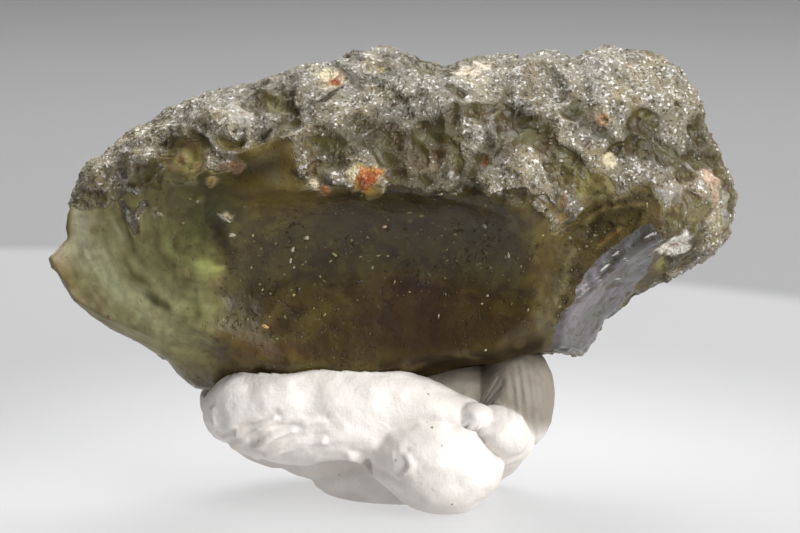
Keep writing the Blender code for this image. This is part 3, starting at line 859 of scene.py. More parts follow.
def carve_stone(directions):
    """The chipped stone: each ray from a flat skeleton to the pillow stops where it meets a scoop, with
    the edges between old breaks rounded a little. Also says how far inside the skin each break lies."""
    ends = stone_body(directions)
    origins = ends * np.array((SKELETON_SHARE, 0.0, SKELETON_SHARE))
    origins[:, 1] = BACKWARD_BOW * (origins[:, 2] / PLAIN_HALF[1]) ** 2
    lengths = np.linalg.norm(ends - origins, axis=1)

    def field(share, points):
        value = -ellipsoid_depth(points, SCOOPS[0])
        for scoop in SCOOPS[1:-1]:
            value = soft_min(value, -ellipsoid_depth(points, scoop), BREAK_SOFTNESS)
        value = soft_min((1.0 - share) * lengths, value, RIM_SOFTNESS)
        return soft_min(value, -ellipsoid_depth(points, SCOOPS[-1]), RIM_SOFTNESS)

    points = walk_out(origins, ends, field)
    broken = np.full(len(ends), -9.0)
    for scoop in SCOOPS:
        broken = np.maximum(broken, ellipsoid_depth(ends, scoop))
    return points, broken


# ---------------------------------------------------------------- the stone's relief and masks

# What the steps below read, all as whole arrays: the points in millimetres, their coordinates before the
# relief is laid on, and 1 on the side that faces the front.
Face = namedtuple("Face", "points along back up front")


def pushed_about(face, amount, size, seed):
    """The points' places in the outline's plane, moved by a soft noise each way."""
    along = face.along + amount * soft_noise(face.points, size, seed)
    up = face.up + amount * soft_noise(face.points, size, seed + 1)
    return along, up


def etch_relief(points, bias):
    """The etched skin's sculpture in millimetres and its frosting from 0 to 1.

    The sculpture is two sizes of scallops, each a bowl round the nearest of its random points with a
    crest between bowls, on places that are first pushed about by a soft noise, so that the bowls are
    uneven, and soft knolls. The frosting covers the knolls and crests and leaves the hollows clear; bias
    adds to it. Fine ridges run where three soft noises pass through zero, and they carry strings of
    grains across the hollows.
    """
    amount, size, first = ETCH_PUSH
    pushes = [soft_noise(points, size, first + axis) for axis in range(3)]
    pushed = points + amount * np.column_stack(pushes)
    knolls = noise_layers(pushed, KNOLLS)
    relief = SOFT_KNOLL_HEIGHT * knolls
    crests = np.zeros(len(points))
    for size, height, seed in SCALLOPS:
        nearest, second = cells_noise(pushed, size, seed)
        bowl = 1.0 - np.clip(second - nearest, 0.0, 0.5) * 2.0
        crest = bowl**2 - CREST_LEVEL + 0.6 * (nearest - CREST_LEVEL)
        relief += height * crest
        crests += crest
    frost = blend_step(-0.7, 0.7, knolls + 0.35 * crests + 1.5 * bias)
    strings = np.zeros(len(points))
    for size, height, seed in STRING_RIDGES:
        ridge = 1.0 - np.abs(soft_noise(pushed, size, seed))
        relief += height * (ridge**4 - 0.4) * (0.45 + 0.55 * frost)
        gate = blend_step(-0.2, 0.5, soft_noise(points, 1.8 * size, seed + 1))
        strings = np.maximum(strings, gate * blend_step(0.80, 0.95, ridge))
    relief += noise_layers(points, SKIN_GRAIN)
    return relief, np.maximum(frost, 0.65 * strings)


def skin_cover(face, broken):
    """Where the etched skin is left, from 0 to 1: above the brow at the front, at the back where no
    break cut in, and along the forked trails. A noise makes its edges ragged."""
    ragged = noise_layers(face.points, RAGGED_EDGE)
    over_brow = face.up - np.interp(face.along, *np.array(BROW).T)
    over_brow = over_brow + (1.0 + blend_step(*ROUGH_TIP, face.along)) * ragged
    skin = (1.0 - face.front) * (1.0 - blend_step(*REAR_SKIN_EDGE, broken + 1.8 * ragged))
    skin += face.front * blend_step(*BROW_EDGE, over_brow)
    skin = np.clip(skin, 0.0, 1.0)
    fork = nearest_line(face.along, face.up, TRAILS)
    fork += noise_layers(face.points, TRAIL_EDGE)
    return np.maximum(skin, TRAIL_COVER * face.front * blend_step(*TRAIL_FADE, fork))


def frost_bias(face):
    """How much more or less than elsewhere the skin is frosted: a bell curve across each patch's line."""
    bias = np.zeros(len(face.points))
    bent = pushed_about(face, *PATCH_PUSH)
    for patch in PATCHES:
        bias += patch.frost * bell(line_distance(*bent, patch.line), patch.width)
    return face.front * np.clip(bias, *PATCH_LIMITS)


def blow_rings(face):
    """Distance from the old blow at the thin end, made uneven by a noise, and bearing in degrees."""
    along = face.along - RIB_CENTRE[0]
    up = face.up - RIB_CENTRE[1]
    distance = np.hypot(along, up)
    for size, height, seed in RING_WOBBLE:
        distance = distance + height * soft_noise(face.points, size, seed)
    return distance, np.degrees(np.arctan2(up, along)) % 360.0


def rib_rise(face, distance, bearing, skin):
    """Height of the shell ribs: a bell curve across each ring, inside a fan of bearings, off the skin."""
    fan = blend_step(*FAN_START, bearing) * blend_step(*FAN_END, bearing) * face.front * (1.0 - skin)
    ribs = sum(height * bell(distance - radius, width) for radius, width, height in RIBS)
    ribs *= noise_gaps(face.points, *RIB_GAPS)
    return fan * ribs


def chip_forms(face):
    """The corner chip's mask, the mask of its torn ridges, which is 1 on a ridge and -1 in the groove under
    it, and the height of both. The same mask carries a painted highlight on the ridges and painted shade in
    the grooves."""
    chipped = blend_step(*CHIP_EDGE, ellipsoid_depth(face.points, SCOOPS[-1])) * face.front
    torn = nearest_line(face.along, face.up, GLINT_RIDGES)
    under = nearest_line(face.along, face.up + GROOVE_DROP * GLINT_RIDGE_WIDTH, GLINT_RIDGES)
    scuff = face.front * (bell(torn, GLINT_RIDGE_WIDTH) - bell(under, GROOVE_WIDTH * GLINT_RIDGE_WIDTH))
    rise = chipped * noise_layers(face.points, CHIP_WAVES)
    rise += GLINT_RIDGE_HEIGHT * scuff
    return chipped, scuff, rise


def lip_forms(face):
    """Distance from the overhanging lip, the mask of the broken crack over it, and the height of both."""
    lip = line_distance(face.along, face.up, LIP)
    crack = line_distance(face.along, face.up, CRACK) + noise_layers(face.points, CRACK_EDGE)
    cracked = face.front * bell(crack, CRACK_WIDTH) * noise_gaps(face.points, *CRACK_GAPS)
    rise = LIP_HEIGHT * face.front * bell(lip, LIP_WIDTH) - CRACK_DEPTH * cracked
    return lip, cracked, rise


def glass_ripple(face, chipped):
    """Height of the broken glass's ripples, and the mask of its hackly panel.

    Soft noises lie everywhere and more of them at both ends. The panel left of the chip has jagged
    ridges, the beak has rough shells, and the back has rings round the places of its blows.
    """
    points, along = face.points, face.along
    ripple = noise_layers(points, RIPPLES)
    worn = blend_step(*WORN_LEFT, along) + WORN_RIGHT_SHARE * blend_step(*WORN_RIGHT, along)
    ripple += worn * noise_layers(points, WORN_RIPPLES)
    hackly = blend_step(*HACKLE_ZONE, along) * (1.0 - chipped)
    jagged = HACKLE_HEIGHT * ridge_noise(points, *HACKLE_RIDGES)
    ripple += hackly * (jagged + noise_layers(points, HACKLE_GRAIN))
    shells = SHELL_HEIGHT * ridge_noise(points, *SHELL_RIDGES)
    ripple += blend_step(*BEAK_ZONE, along) * (shells + noise_layers(points, BEAK_GRAIN))
    ripple *= 1.0 - CHIP_SMOOTHING * chipped
    blown = np.min([np.hypot(along - x, face.up - z) for x, z in REAR_BLOWS], axis=0)
    blown = np.sin((blown + noise_layers(points, REAR_WOBBLE)) * 2.0 * math.pi / REAR_RIPPLE)
    ripple += (1.0 - face.front) * (REAR_RIPPLE_HEIGHT * blown + noise_layers(points, REAR_GRAIN))
    return ripple, hackly


# ---------------------------------------------------------------- the stone's colours


def tinted(face, spots, plain, streaks=()):
    """Tint and milkiness: the plain ones, drawn towards each spot by a bell curve of the distance in its
    half sizes, and towards each streak by one of the distance from its line, on places pushed about by
    a soft noise."""
    colour = np.tile(np.array(plain.colour), (len(face.points), 1))
    haze = np.full(len(face.points), plain.haze)
    spread = pushed_about(face, *TINT_PUSH)
    for spot in spots:
        share = bell(oval_share(*spread, spot), 1.0)
        colour += (np.array(spot.colour) - colour) * share[:, None]
        haze += (spot.haze - haze) * share
    wavy = pushed_about(face, *STREAK_PUSH)
    for streak in streaks:
        share = bell(line_distance(*wavy, streak.line), streak.width)
        share *= noise_gaps(face.points, *STREAK_GAPS)
        colour += (np.array(streak.colour) - colour) * share[:, None]
        haze += (streak.haze - haze) * share
    return colour, haze


def crust_cover(face):
    """Where crusts and stains lie, from 0 to 1, and their colours. A crust is an oval at the front that
    also ends in depth, so that it is a spot on a steep side too, with a ragged rim."""
    crust = np.zeros(len(face.points))
    colour = np.tile(np.array(CREAM), (len(face.points), 1))
    for spot in CRUSTS:
        share = oval_share(face.along, face.up, spot)
        middle = face.back[np.argmin(share + 9.0 * (1.0 - face.front))]
        share = np.hypot(share, (face.back - middle) / (spot.half_width + spot.half_height))
        share += noise_layers(face.points, CRUST_EDGE)
        cover = spot.cover * face.front * blend_step(*CRUST_FADE, share)
        colour += (np.array(spot.colour) - colour) * blend_step(0.0, 0.5, cover)[:, None]
        crust = np.maximum(crust, cover)
    return crust, colour


def glass_tint(face, distance, bearing):
    """Tint and milkiness of the broken glass. At the thin end, fibres round the old blow make the tint
    uneven: noises that are stretched along the rings."""
    tint, haze = tinted(face, TINTS, PLAIN_TINT, STREAKS)
    arcs = np.column_stack((distance, np.radians(bearing), face.back)) * np.array(FIBRE_STRETCH)
    fibrous = blend_step(*FIBRE_ZONE, face.along)
    fibres = fibrous * (soft_noise(arcs, 1.0, 141) + 0.6 * soft_noise(2.1 * arcs, 1.0, 142))
    fine = soft_noise(arcs * np.array(FINE_FIBRE_STRETCH), 1.0, 143)
    fine = fibrous * (fine + soft_noise(face.points, 0.42, 144))
    tint *= (1.0 + FIBRE_SHARE * fibres + FINE_FIBRE_SHARE * fine)[:, None]
    rear_tint, rear_haze = tinted(face, REAR_TINTS, PLAIN_TINT)
    tint = rear_tint + (tint - rear_tint) * face.front[:, None]
    return tint, rear_haze + (haze - rear_haze) * face.front


def skin_shade(face, cracked):
    """Shade of the frosted skin: the listed spots, uneven in lightness and in warmth, dark in the crack."""
    shade, _ = tinted(face, SHADES, PLAIN_SHADE)
    shade *= (1.0 + noise_layers(face.points, SHADE_NOISE))[:, None]
    shade *= 1.0 + noise_layers(face.points, WARMTH_NOISE)[:, None] * np.array(WARMTH)
    return shade * (1.0 - CRACK_SHADE * cracked)[:, None]


def chip_cover(face):
    """Where the fresh chip's grey colour lies: inside its scoop and near its line, with an uneven edge."""
    off_line = line_distance(face.along, face.up, CHIP_LINE) + noise_layers(face.points, CHIP_LINE_EDGE)
    inside = face.front * blend_step(*CHIP_COLOUR_EDGE, ellipsoid_depth(face.points, SCOOPS[-1]))
    return inside * blend_step(*CHIP_FADE, off_line)


def shape_stone(columns, rows):
    """The stone's points, quads, masks and colours.

    The carved body is moved along its normals by the etched relief where skin is left, by ribs and
    ripples where it is not, and by the lip, the crack and the chip's ridges. The colours are then read at
    the moved points.
    """
    directions, quads = ball_grid(columns, rows, PLAIN_HALF[1] / PLAIN_HALF[0], STONE_CROWD)
    points, broken = carve_stone(directions)
    front = blend_step(*FRONT_FADE, directions[:, 1] + noise_layers(points, FRONT_EDGE))
    face = Face(points, *points.T, front)

    skin = skin_cover(face, broken)
    bias = frost_bias(face)
    relief, frost = etch_relief(points, bias)
    relief += PATCH_HEIGHT * bias
    distance, bearing = blow_rings(face)
    chipped, scuff, chip_rise = chip_forms(face)
    lip, cracked, lip_rise = lip_forms(face)
    ripple, hackly = glass_ripple(face, chipped)
    relief *= 1.0 - 0.6 * front * bell(lip, LIP_SMOOTHING)
    rise = skin * relief + rib_rise(face, distance, bearing, skin) + (1.0 - skin) * ripple
    rise = rise + lip_rise + chip_rise
    face = face._replace(points=points + surface_normals(points, quads) * rise[:, None])

    crust, crust_colour = crust_cover(face)
    tint, haze = glass_tint(face, distance, bearing)
    tint += (skin_shade(face, cracked) - tint) * skin[:, None]
    numbers = {
        "skin": skin,
        "frost": np.maximum(frost * (1.0 - cracked), bell(lip, LIP_FROST) * front),
        "crust": crust,
        "haze": haze,
        "chip": chip_cover(face),
        # Torn ridges on the chip: painted highlight on the crests, painted shade in the grooves.
        "scuff": scuff,
        "hackle": hackly,
    }
    return face.points, quads, numbers, {"crust_colour": crust_colour, "tint": tint}


# ---------------------------------------------------------------- the held grains


def shape_grains(surface, normals, bare, open_glass):
    """Closed grains on the stone's face: a small ball grid for each, stretched along the grain, across it
    and along the surface's normal, with each point moved in or out a little by a random share.

    The listed grains sit at the face's point nearest to their place. The strewn ones sit at random points
    of the front, the likelier the clearer the glass is there, and none where it is CLOUDED. Most are
    under a tenth of a millimetre long.
    """
    random = np.random.default_rng(STREWN_SEED)
    clear = np.flatnonzero((bare > BARE_ENOUGH) & (normals[:, 1] < TURNED_FRONT))
    picked = [clear[np.argmin(np.hypot(surface[clear, 0] - grain.along, surface[clear, 2] - grain.up))]
              for grain in GRAINS]
    chances = np.clip(open_glass[clear] - CLOUDED, 0.0, 1.0) ** 2
    strewn = random.choice(clear, STREWN_GRAINS, replace=False, p=chances / chances.sum())
    index = np.concatenate((picked, strewn))
    length = STREWN_SHORTEST + STREWN_LONGER * random.random(STREWN_GRAINS) ** 3
    width = length * random.uniform(*STREWN_WIDTHS, STREWN_GRAINS)
    sizes = np.array([(grain.length, grain.width) for grain in GRAINS])
    sizes = np.vstack((sizes, np.column_stack((length, width))))
    turns = np.array([grain.turn for grain in GRAINS])
    turns = np.radians(np.concatenate((turns, random.uniform(0.0, 180.0, STREWN_GRAINS))))
    palette = np.array(STREWN_COLOURS)
    colours = np.array([grain.colour for grain in GRAINS])
    colours = np.vstack((colours, palette[random.integers(0, len(palette), STREWN_GRAINS)]))

    outward = normals[index]
    along = np.column_stack((np.cos(turns), np.zeros(len(turns)), np.sin(turns)))
    along -= outward * (along * outward).sum(axis=1)[:, None]
    along /= np.linalg.norm(along, axis=1)[:, None]
    across = np.cross(outward, along)
    ball, quads = ball_grid(GRAIN_SQUARES, GRAIN_SQUARES, 1.0, 1.0)
    bumpy = 1.0 + random.uniform(-GRAIN_BUMPS, GRAIN_BUMPS, (len(index), len(ball)))
    local = ball[None] * bumpy[..., None]
    points = surface[index][:, None]
    points = points + along[:, None] * (local[..., :1] * sizes[:, None, :1])
    points = points + across[:, None] * (local[..., 2:] * sizes[:, None, 1:])
    points = points + outward[:, None] * (local[..., 1:2] * GRAIN_FLATNESS * sizes[:, None, 1:])
    quads = quads[None] + np.arange(len(index))[:, None, None] * len(ball)
    colours = np.repeat(colours, len(ball), axis=0)
    return points.reshape(-1, 3), quads.reshape(-1, 4), {"grain_colour": colours}


# ---------------------------------------------------------------- frames


def to_world(points):
    """Millimetres in the leaning frame to metres in the object's frame."""
    lean = math.radians(STONE_LEAN)
    along, back, up = points.T
    turned = np.column_stack((
        along,
        back * math.cos(lean) + up * math.sin(lean),
        up * math.cos(lean) - back * math.sin(lean),
    ))
    return (turned + np.array(STONE_CENTRE)) * MM


def unlean(vectors):
    """World directions turned into the leaning frame."""
    lean = math.radians(STONE_LEAN)
    along, back, up = vectors.T
    return np.column_stack((
        along,
        back * math.cos(lean) - up * math.sin(lean),
        up * math.cos(lean) + back * math.sin(lean),
    ))


def from_world(points):
    """Metres in the object's frame to millimetres in the leaning frame."""
    return unlean(points / MM - np.array(STONE_CENTRE))


def floor_height(points):
    """Height of leaning-frame points over the floor, in millimetres."""
    return to_world(points)[:, 2] / MM


# ---------------------------------------------------------------- the putty


def putty_rise(points):
    """Height of the putty's finer forms at the front and all round: lumpy noises, the listed creases,
    each with a roll above it, a patch of pressed wrinkles, and finger ridges inside their prints."""
    along, back, up = points.T
    front = blend_step(2.0, 0.0, back)
    rise = noise_layers(points, PUTTY_LUMPINESS)
    for crease in CREASES:
        uneven = 0.1 * soft_noise(points, 0.8, 211)
        away = line_distance(along, up, crease.line) + uneven
        rise -= CREASE_DEPTH * front * crease.depth * bell(away, crease.width)
        uneven = 0.1 * soft_noise(points, 0.8, 212)
        above = line_distance(along, up - ROLL_RISE * crease.width, crease.line) + uneven
        rise += ROLL_HEIGHT * front * crease.depth * bell(above, ROLL_WIDTH * crease.width)
    wrinkled = front * bell(oval_share(along, up, WRINKLES), 1.0)
    waves = up - along * 0.42 + 0.35 * soft_noise(points, 1.6, 221)
    rise += WRINKLE_HEIGHT * wrinkled * np.sin(waves * 2.0 * math.pi / WRINKLE_STEP)
    prints = sum(spot.strength * np.exp(-(oval_share(along, up, spot) ** 4)) for spot in FINGER_PRINTS)
    waves = along + 0.12 * up + 0.12 * soft_noise(points, 1.5, 231)
    rise += FINGER_RIDGE_HEIGHT * front * prints * np.sin(waves * 2.0 * math.pi / FINGER_RIDGE_STEP)
    return rise


def shape_putty(columns, rows):
    """The putty: rays from a flat skeleton inside the lump walk out to the first place that lies outside
    every lump, inside the stone's seat or under the floor. The finer forms are then laid on along the
    surface's normals, and fade out at the stone and the floor."""
    directions, quads = ball_grid(columns, rows, PUTTY_ASPECT, PUTTY_CROWD)
    round_it, pole, across = directions.T
    ball = np.column_stack((round_it, across, -pole))
    middle = np.array(PUTTY_MIDDLE)
    origins = middle + np.column_stack((round_it, across, round_it)) * np.array(PUTTY_SKELETON)
    ends = middle + ball * np.array(PUTTY_REACH)

    def field(share, points):
        away = {lump.name: -ellipsoid_depth(points, lump) for lump in PUTTY_LUMPS}
        value = soft_min(away.pop("front_flap"), away.pop("front_fold"), FLAP_SOFTNESS)
        for lump in away.values():
            value = soft_min(value, lump, FOLD_SOFTNESS)
        return np.minimum(np.minimum(-value, stone_distance(points) - PUTTY_TOUCH), floor_height(points))

    points = walk_out(origins, ends, field)
    quads = quads[:, ::-1]
    free = blend_step(*STONE_FADE, stone_distance(points)) * blend_step(*FLOOR_FADE, floor_height(points))
    rise = putty_rise(points) * free
    along, _, up = points.T
    points = points + surface_normals(points, quads) * rise[:, None]
    rear, fore = np.full((2, len(points)), -9.0)
    for lump in PUTTY_LUMPS:
        side = rear if lump.name in SHADED_LUMPS else fore
        np.maximum(side, ellipsoid_depth(points, lump), out=side)
    # Painted shade on the shaded lumps: whole at the high right part, a lesser share elsewhere.
    painted_shade = blend_step(*PAINTED_SHADE_ALONG, along) * blend_step(*PAINTED_SHADE_UP, up)
    painted_shade = np.maximum(painted_shade, PAINTED_SHADE_LEAST) * blend_step(*PAINTED_SHADE_EDGE, rear - fore)
    return points, quads, {"painted_shade": painted_shade}


# ---------------------------------------------------------------- meshes and materials


def make_mesh(name, points, quads, body="root"):
    """A smooth mesh object from whole arrays, riding on a body."""
    mesh = bpy.data.meshes.new(name)
    mesh.vertices.add(len(points))
    mesh.vertices.foreach_set("co", points.astype(np.float32).ravel())
    mesh.loops.add(quads.size)
    mesh.loops.foreach_set("vertex_index", quads.astype(np.int32).ravel())
    mesh.polygons.add(len(quads))
    mesh.polygons.foreach_set("loop_start", np.arange(0, quads.size, quads.shape[1], dtype=np.int32))
    mesh.update(calc_edges=True)
    mesh.validate()
    mesh.shade_smooth()
    piece = bpy.data.objects.new(name, mesh)
    bpy.context.scene.collection.objects.link(piece)
    if body:
        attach(piece, body)
    return piece


def add_masks(piece, numbers, colours):
    """Writes each mask and colour into the mesh as an attribute of its points."""
    for name, values in numbers.items():
        attribute = piece.data.attributes.new(name, "FLOAT", "POINT")
        attribute.data.foreach_set("value", values.astype(np.float32))
    for name, values in colours.items():
        attribute = piece.data.attributes.new(name, "FLOAT_COLOR", "POINT")
        filled = np.column_stack((values, np.ones(len(values))))
        attribute.data.foreach_set("color", filled.astype(np.float32).ravel())


class Nodes:
    """Short calls for building one material's node tree."""

    def __init__(self, name):
        self.material = bpy.data.materials.new(name)
        self.material.use_nodes = True
        self.tree = self.material.node_tree
        self.shader = self.tree.nodes["Principled BSDF"]
        self.output = self.tree.nodes["Material Output"]
        self.place = self.new("ShaderNodeTexCoord").outputs["Object"]

    def new(self, kind, **settings):
        """A new node with the given settings."""
        node = self.tree.nodes.new(kind)
        for key, value in settings.items():
            setattr(node, key, value)
        return node

    def put(self, socket, value):
        """Links a socket to another, or sets its value."""
        if isinstance(value, bpy.types.NodeSocket):
            self.tree.links.new(value, socket)
        elif socket.type == "RGBA":
            socket.default_value = (*tuple(value)[:3], 1.0)
        else:
            socket.default_value = value

    def finish(self, name, value):
        """Links or sets one of the shader's own sockets."""
        self.put(self.shader.inputs[name], value)

    def noise(self, size, detail=4.0, roughness=0.55, distortion=0.0):
        """Noise whose features are about size millimetres across."""
        node = self.new("ShaderNodeTexNoise")
        self.put(node.inputs["Vector"], self.place)
        node.inputs["Scale"].default_value = 1.0 / (size * MM)
        node.inputs["Detail"].default_value = detail
        node.inputs["Roughness"].default_value = roughness
        node.inputs["Distortion"].default_value = distortion
        return node.outputs["Fac"]

    def cells(self, size):
        """Cells about size millimetres across: the node, with a distance and a random colour for each."""
        node = self.new("ShaderNodeTexVoronoi")
        self.put(node.inputs["Vector"], self.place)
        node.inputs["Scale"].default_value = 1.0 / (size * MM)
        return node

    def split(self, colour):
        """The red, green and blue of a colour."""
        node = self.new("ShaderNodeSeparateColor")
        self.put(node.inputs[0], colour)
        return node.outputs

    def length(self, vector):
        """Distance of a place from the middle."""
        node = self.new("ShaderNodeVectorMath", operation="LENGTH")
        self.put(node.inputs[0], vector)
        return node.outputs["Value"]

    def attribute(self, name, output="Fac"):
        """A mask or colour that was written into the mesh."""
        return self.new("ShaderNodeAttribute", attribute_name=name).outputs[output]

    def math(self, operation, first, second):
        """One operation on two sockets or numbers."""
        node = self.new("ShaderNodeMath", operation=operation)
        self.put(node.inputs[0], first)
        self.put(node.inputs[1], second)
        return node.outputs[0]

    def times(self, first, second):
        """The product of two."""
        return self.math("MULTIPLY", first, second)

    def plus(self, first, second):
        """The sum of two."""
        return self.math("ADD", first, second)

    def minus(self, first, second):
        """The first less the second."""
        return self.math("SUBTRACT", first, second)

    def most(self, first, *others):
        """The largest of several."""
        for other in others:
            first = self.math("MAXIMUM", first, other)
        return first

    def spread(self, value, low, high, to_low=0.0, to_high=1.0):
        """Maps low to high smoothly onto to_low to to_high."""
        node = self.new("ShaderNodeMapRange", interpolation_type="SMOOTHSTEP")
        for socket, given in zip(node.inputs, (value, low, high, to_low, to_high)):
            self.put(socket, given)
        return node.outputs[0]

    def mix(self, share, first, second, blend="MIX"):
        """The first colour drawn towards the second by share."""
        node = self.new("ShaderNodeMix", data_type="RGBA", blend_type=blend)
        self.put(node.inputs["Factor"], share)
        self.put(node.inputs[6], first)
        self.put(node.inputs[7], second)
        return node.outputs[2]

    def bump(self, height, distance):
        """A bump whose height of 1 stands distance millimetres high."""
        node = self.new("ShaderNodeBump")
        self.put(node.inputs["Height"], height)
        node.inputs["Distance"].default_value = distance * MM
        return node.outputs["Normal"]


def glass_masks(nodes):
    """The patterns and masks that the glass's colour, clearness, roughness and bump all read."""
    masks = SimpleNamespace()
    masks.grain = nodes.noise(*GRAIN)
    masks.dust = nodes.noise(*DUST)
    masks.mottle = nodes.noise(*MOTTLE)
    masks.nick = nodes.noise(*NICKS)
    for name in ("crust", "haze", "hackle", "scuff"):
        setattr(masks, name, nodes.attribute(name))
    ragged = nodes.times(nodes.minus(nodes.noise(*EDGE), 0.5), EDGE_RAGGEDNESS)
    masks.skin = nodes.spread(nodes.plus(nodes.attribute("skin"), ragged), 0.3, 0.7)
    chip = nodes.plus(nodes.attribute("chip"), nodes.times(ragged, 0.5))
    masks.chip = nodes.spread(chip, 0.4, 0.6)
    masks.cover = nodes.times(masks.skin, nodes.spread(nodes.attribute("frost"), 0.0, 1.0, 0.14, 1.0))

    # each facet of the frost has its own brightness; the brightest crowd together where it is thick. The
    # bright grains are partly the frost's pale crumbs and partly painted glints of its sparkle
    facet = nodes.split(nodes.cells(FACET_SIZE).outputs["Color"])
    masks.facet = facet[0]
    masks.glitter = nodes.math("POWER", facet[1], 2.0)
    edge = nodes.minus(0.88, nodes.times(masks.cover, 0.34))
    crowd = nodes.plus(nodes.times(masks.facet, 0.5), nodes.times(masks.dust, 0.5))
    crowd = nodes.plus(crowd, nodes.times(nodes.minus(masks.grain, 0.5), 0.8))
    grains = nodes.spread(crowd, edge, nodes.plus(edge, 0.2))
    masks.grains = nodes.times(grains, nodes.spread(masks.cover, 0.02, 0.2))
    pits = nodes.times(nodes.spread(facet[2], 0.22, 0.08), nodes.spread(masks.cover, 0.2, 0.9, 0.0, 0.7))
    masks.pits = nodes.most(pits, nodes.times(nodes.spread(masks.dust, 0.40, 0.28), masks.skin))

    # dark flecks and pale ones on the broken glass, fewer where it is milky and more on the hackly panel
    masks.calm = nodes.most(nodes.spread(masks.haze, 0.3, 0.8, 1.0, 0.35), masks.hackle)
    fleck_share = nodes.spread(masks.hackle, 0.0, 1.0, 0.55, 0.75)
    fleck_edge = nodes.spread(masks.hackle, 0.0, 1.0, 0.43, 0.5)
    flecks = nodes.spread(nodes.noise(*FLECKS), fleck_edge, 0.34)
    masks.flecks = nodes.times(nodes.times(flecks, fleck_share), masks.calm)
    masks.pale = nodes.times(nodes.spread(nodes.noise(*PALE_FLECKS), 0.56, 0.7), 0.6)
    masks.crumbs = nodes.times(masks.crust, nodes.spread(masks.grain, 0.34, 0.5, 0.5, 1.0))
    return masks


def broken_colour(nodes, look, masks):
    """Broken glass: mottled green and brown, greener where it is milky, with flecks and nicks."""
    colour = nodes.mix(nodes.spread(masks.mottle, *MOTTLE_SPREAD), look.break_green, look.break_brown)
    colour = nodes.mix(nodes.spread(masks.haze, 0.4, 0.9, 0.0, 0.65), colour, look.break_green)
    colour = nodes.mix(masks.flecks, colour, look.pit)
    colour = nodes.mix(masks.pale, colour, look.break_pale)
    nicked = nodes.times(nodes.spread(masks.nick, 0.62, 0.7), nodes.times(masks.calm, 0.3))
    return nodes.mix(nicked, colour, look.pit)


def skin_colour(nodes, look, masks):
    """Skin between its grains: green and brown hollows, grey where it is frosted, dark in its pits."""
    colour = nodes.mix(nodes.spread(masks.mottle, *MOTTLE_SPREAD), look.hollow_green, look.hollow_brown)
    colour = nodes.mix(nodes.spread(masks.cover, 0.1, 0.8), colour, look.frost_grey)
    return nodes.mix(masks.pits, colour, look.pit)


def chip_colours(nodes, look, masks, colour):
    """Lays the fresh chip's greys over the glass's colour, then painted shade in the grooves under its torn
    ridges and a painted highlight along their crests.
    """
    chip = nodes.mix(nodes.spread(masks.mottle, 0.38, 0.6), look.chip_colour, look.chip_green)
    marks = nodes.spread(nodes.noise(*CHIP_MARKS), 0.52, 0.62, 0.0, 0.7)
    chip = nodes.mix(marks, chip, look.pit)
    colour = nodes.mix(masks.chip, colour, chip)
    # Painted shade in the grooves under the torn ridges, in the dark pits' colour, then a painted highlight
    # on the ridges.
    colour = nodes.mix(nodes.spread(masks.scuff, -0.3, -0.8, 0.0, 0.8), colour, look.pit)
    return nodes.mix(nodes.spread(masks.scuff, 0.5, 0.9), colour, look.glint_bright)


def crumb_colours(nodes, look, masks, colour, tint):
    """Lays the frost's grains, which are partly painted glints, and the crusts' crumbs over the glass's
    colour.
    """
    grain_light = nodes.plus(nodes.times(nodes.split(tint)[1], 0.8), 0.2)
    grain_colour = nodes.mix(masks.glitter, look.grain_dull, look.glint_bright)
    grain_colour = nodes.mix(1.0, grain_colour, grain_light, "MULTIPLY")
    colour = nodes.mix(masks.grains, colour, grain_colour)
    crust = nodes.attribute("crust_colour", "Color")
    crust = nodes.mix(nodes.times(masks.glitter, 0.4), crust, look.crust_pale)
    crust = nodes.mix(nodes.spread(masks.dust, 0.46, 0.34, 0.0, 0.6), crust, look.crust_dark)
    return nodes.mix(masks.crumbs, colour, crust)


def glass_opaqueness(nodes, look, masks):
    """Share of the light that does not pass: the most that any of the finishes keeps back."""
    clearest = nodes.spread(masks.haze, 0.2, 0.8, 0.5, 0.9)
    milk = nodes.most(
        nodes.times(masks.haze, nodes.spread(masks.mottle, 0.34, 0.66, 1.2, clearest)),
        nodes.times(masks.pale, PALE_MILK),
        nodes.times(masks.flecks, FLECK_MILK),
        nodes.times(masks.skin, look.skin_milk),
        nodes.times(masks.cover, COVER_MILK),
        nodes.times(masks.chip, CHIP_MILK),
        masks.grains,
        masks.crumbs,
    )
    return nodes.math("MINIMUM", milk, 1.0)


def glass_roughness(nodes, look, masks):
    """Roughness of the breaks, changed in turn on the skin, the chip, the grains and the crumbs."""
    rough = nodes.spread(masks.haze, 0.1, 0.8, look.break_roughness, 0.5)
    rough = nodes.spread(masks.skin, 0.0, 1.0, rough, look.hollow_roughness)
    rough = nodes.spread(masks.chip, 0.0, 1.0, rough, CHIP_ROUGHNESS)
    rough = nodes.spread(masks.grains, 0.0, 1.0, rough, look.grain_roughness)
    return nodes.spread(masks.crumbs, 0.0, 1.0, rough, CRUMB_ROUGHNESS)


def glass_height(nodes, masks):
    """Bump of the glass: grains on the skin, and satin, jagged panel and nicks on the broken glass."""
    bare = nodes.minus(1.0, masks.skin)
    satin = nodes.times(nodes.noise(*SATIN), nodes.times(bare, 0.45))
    rough_grain = nodes.plus(masks.grain, nodes.times(masks.facet, 0.45))
    rough_skin = nodes.spread(masks.cover, 0.0, 0.5, 0.35, 1.5)
    height = nodes.times(rough_grain, nodes.times(masks.skin, rough_skin))
    height = nodes.plus(height, satin)
    rugged = nodes.times(nodes.noise(*RUGGED), nodes.times(masks.hackle, 1.2))
    height = nodes.plus(height, nodes.times(rugged, bare))
    nicks = nodes.times(nodes.spread(masks.nick, 0.58, 0.68), nodes.times(bare, masks.calm))
    nicks = nodes.times(nicks, nodes.spread(nodes.noise(*NICK_PATCHES), 0.47, 0.6, 0.0, 0.9))
    return nodes.minus(height, nicks)


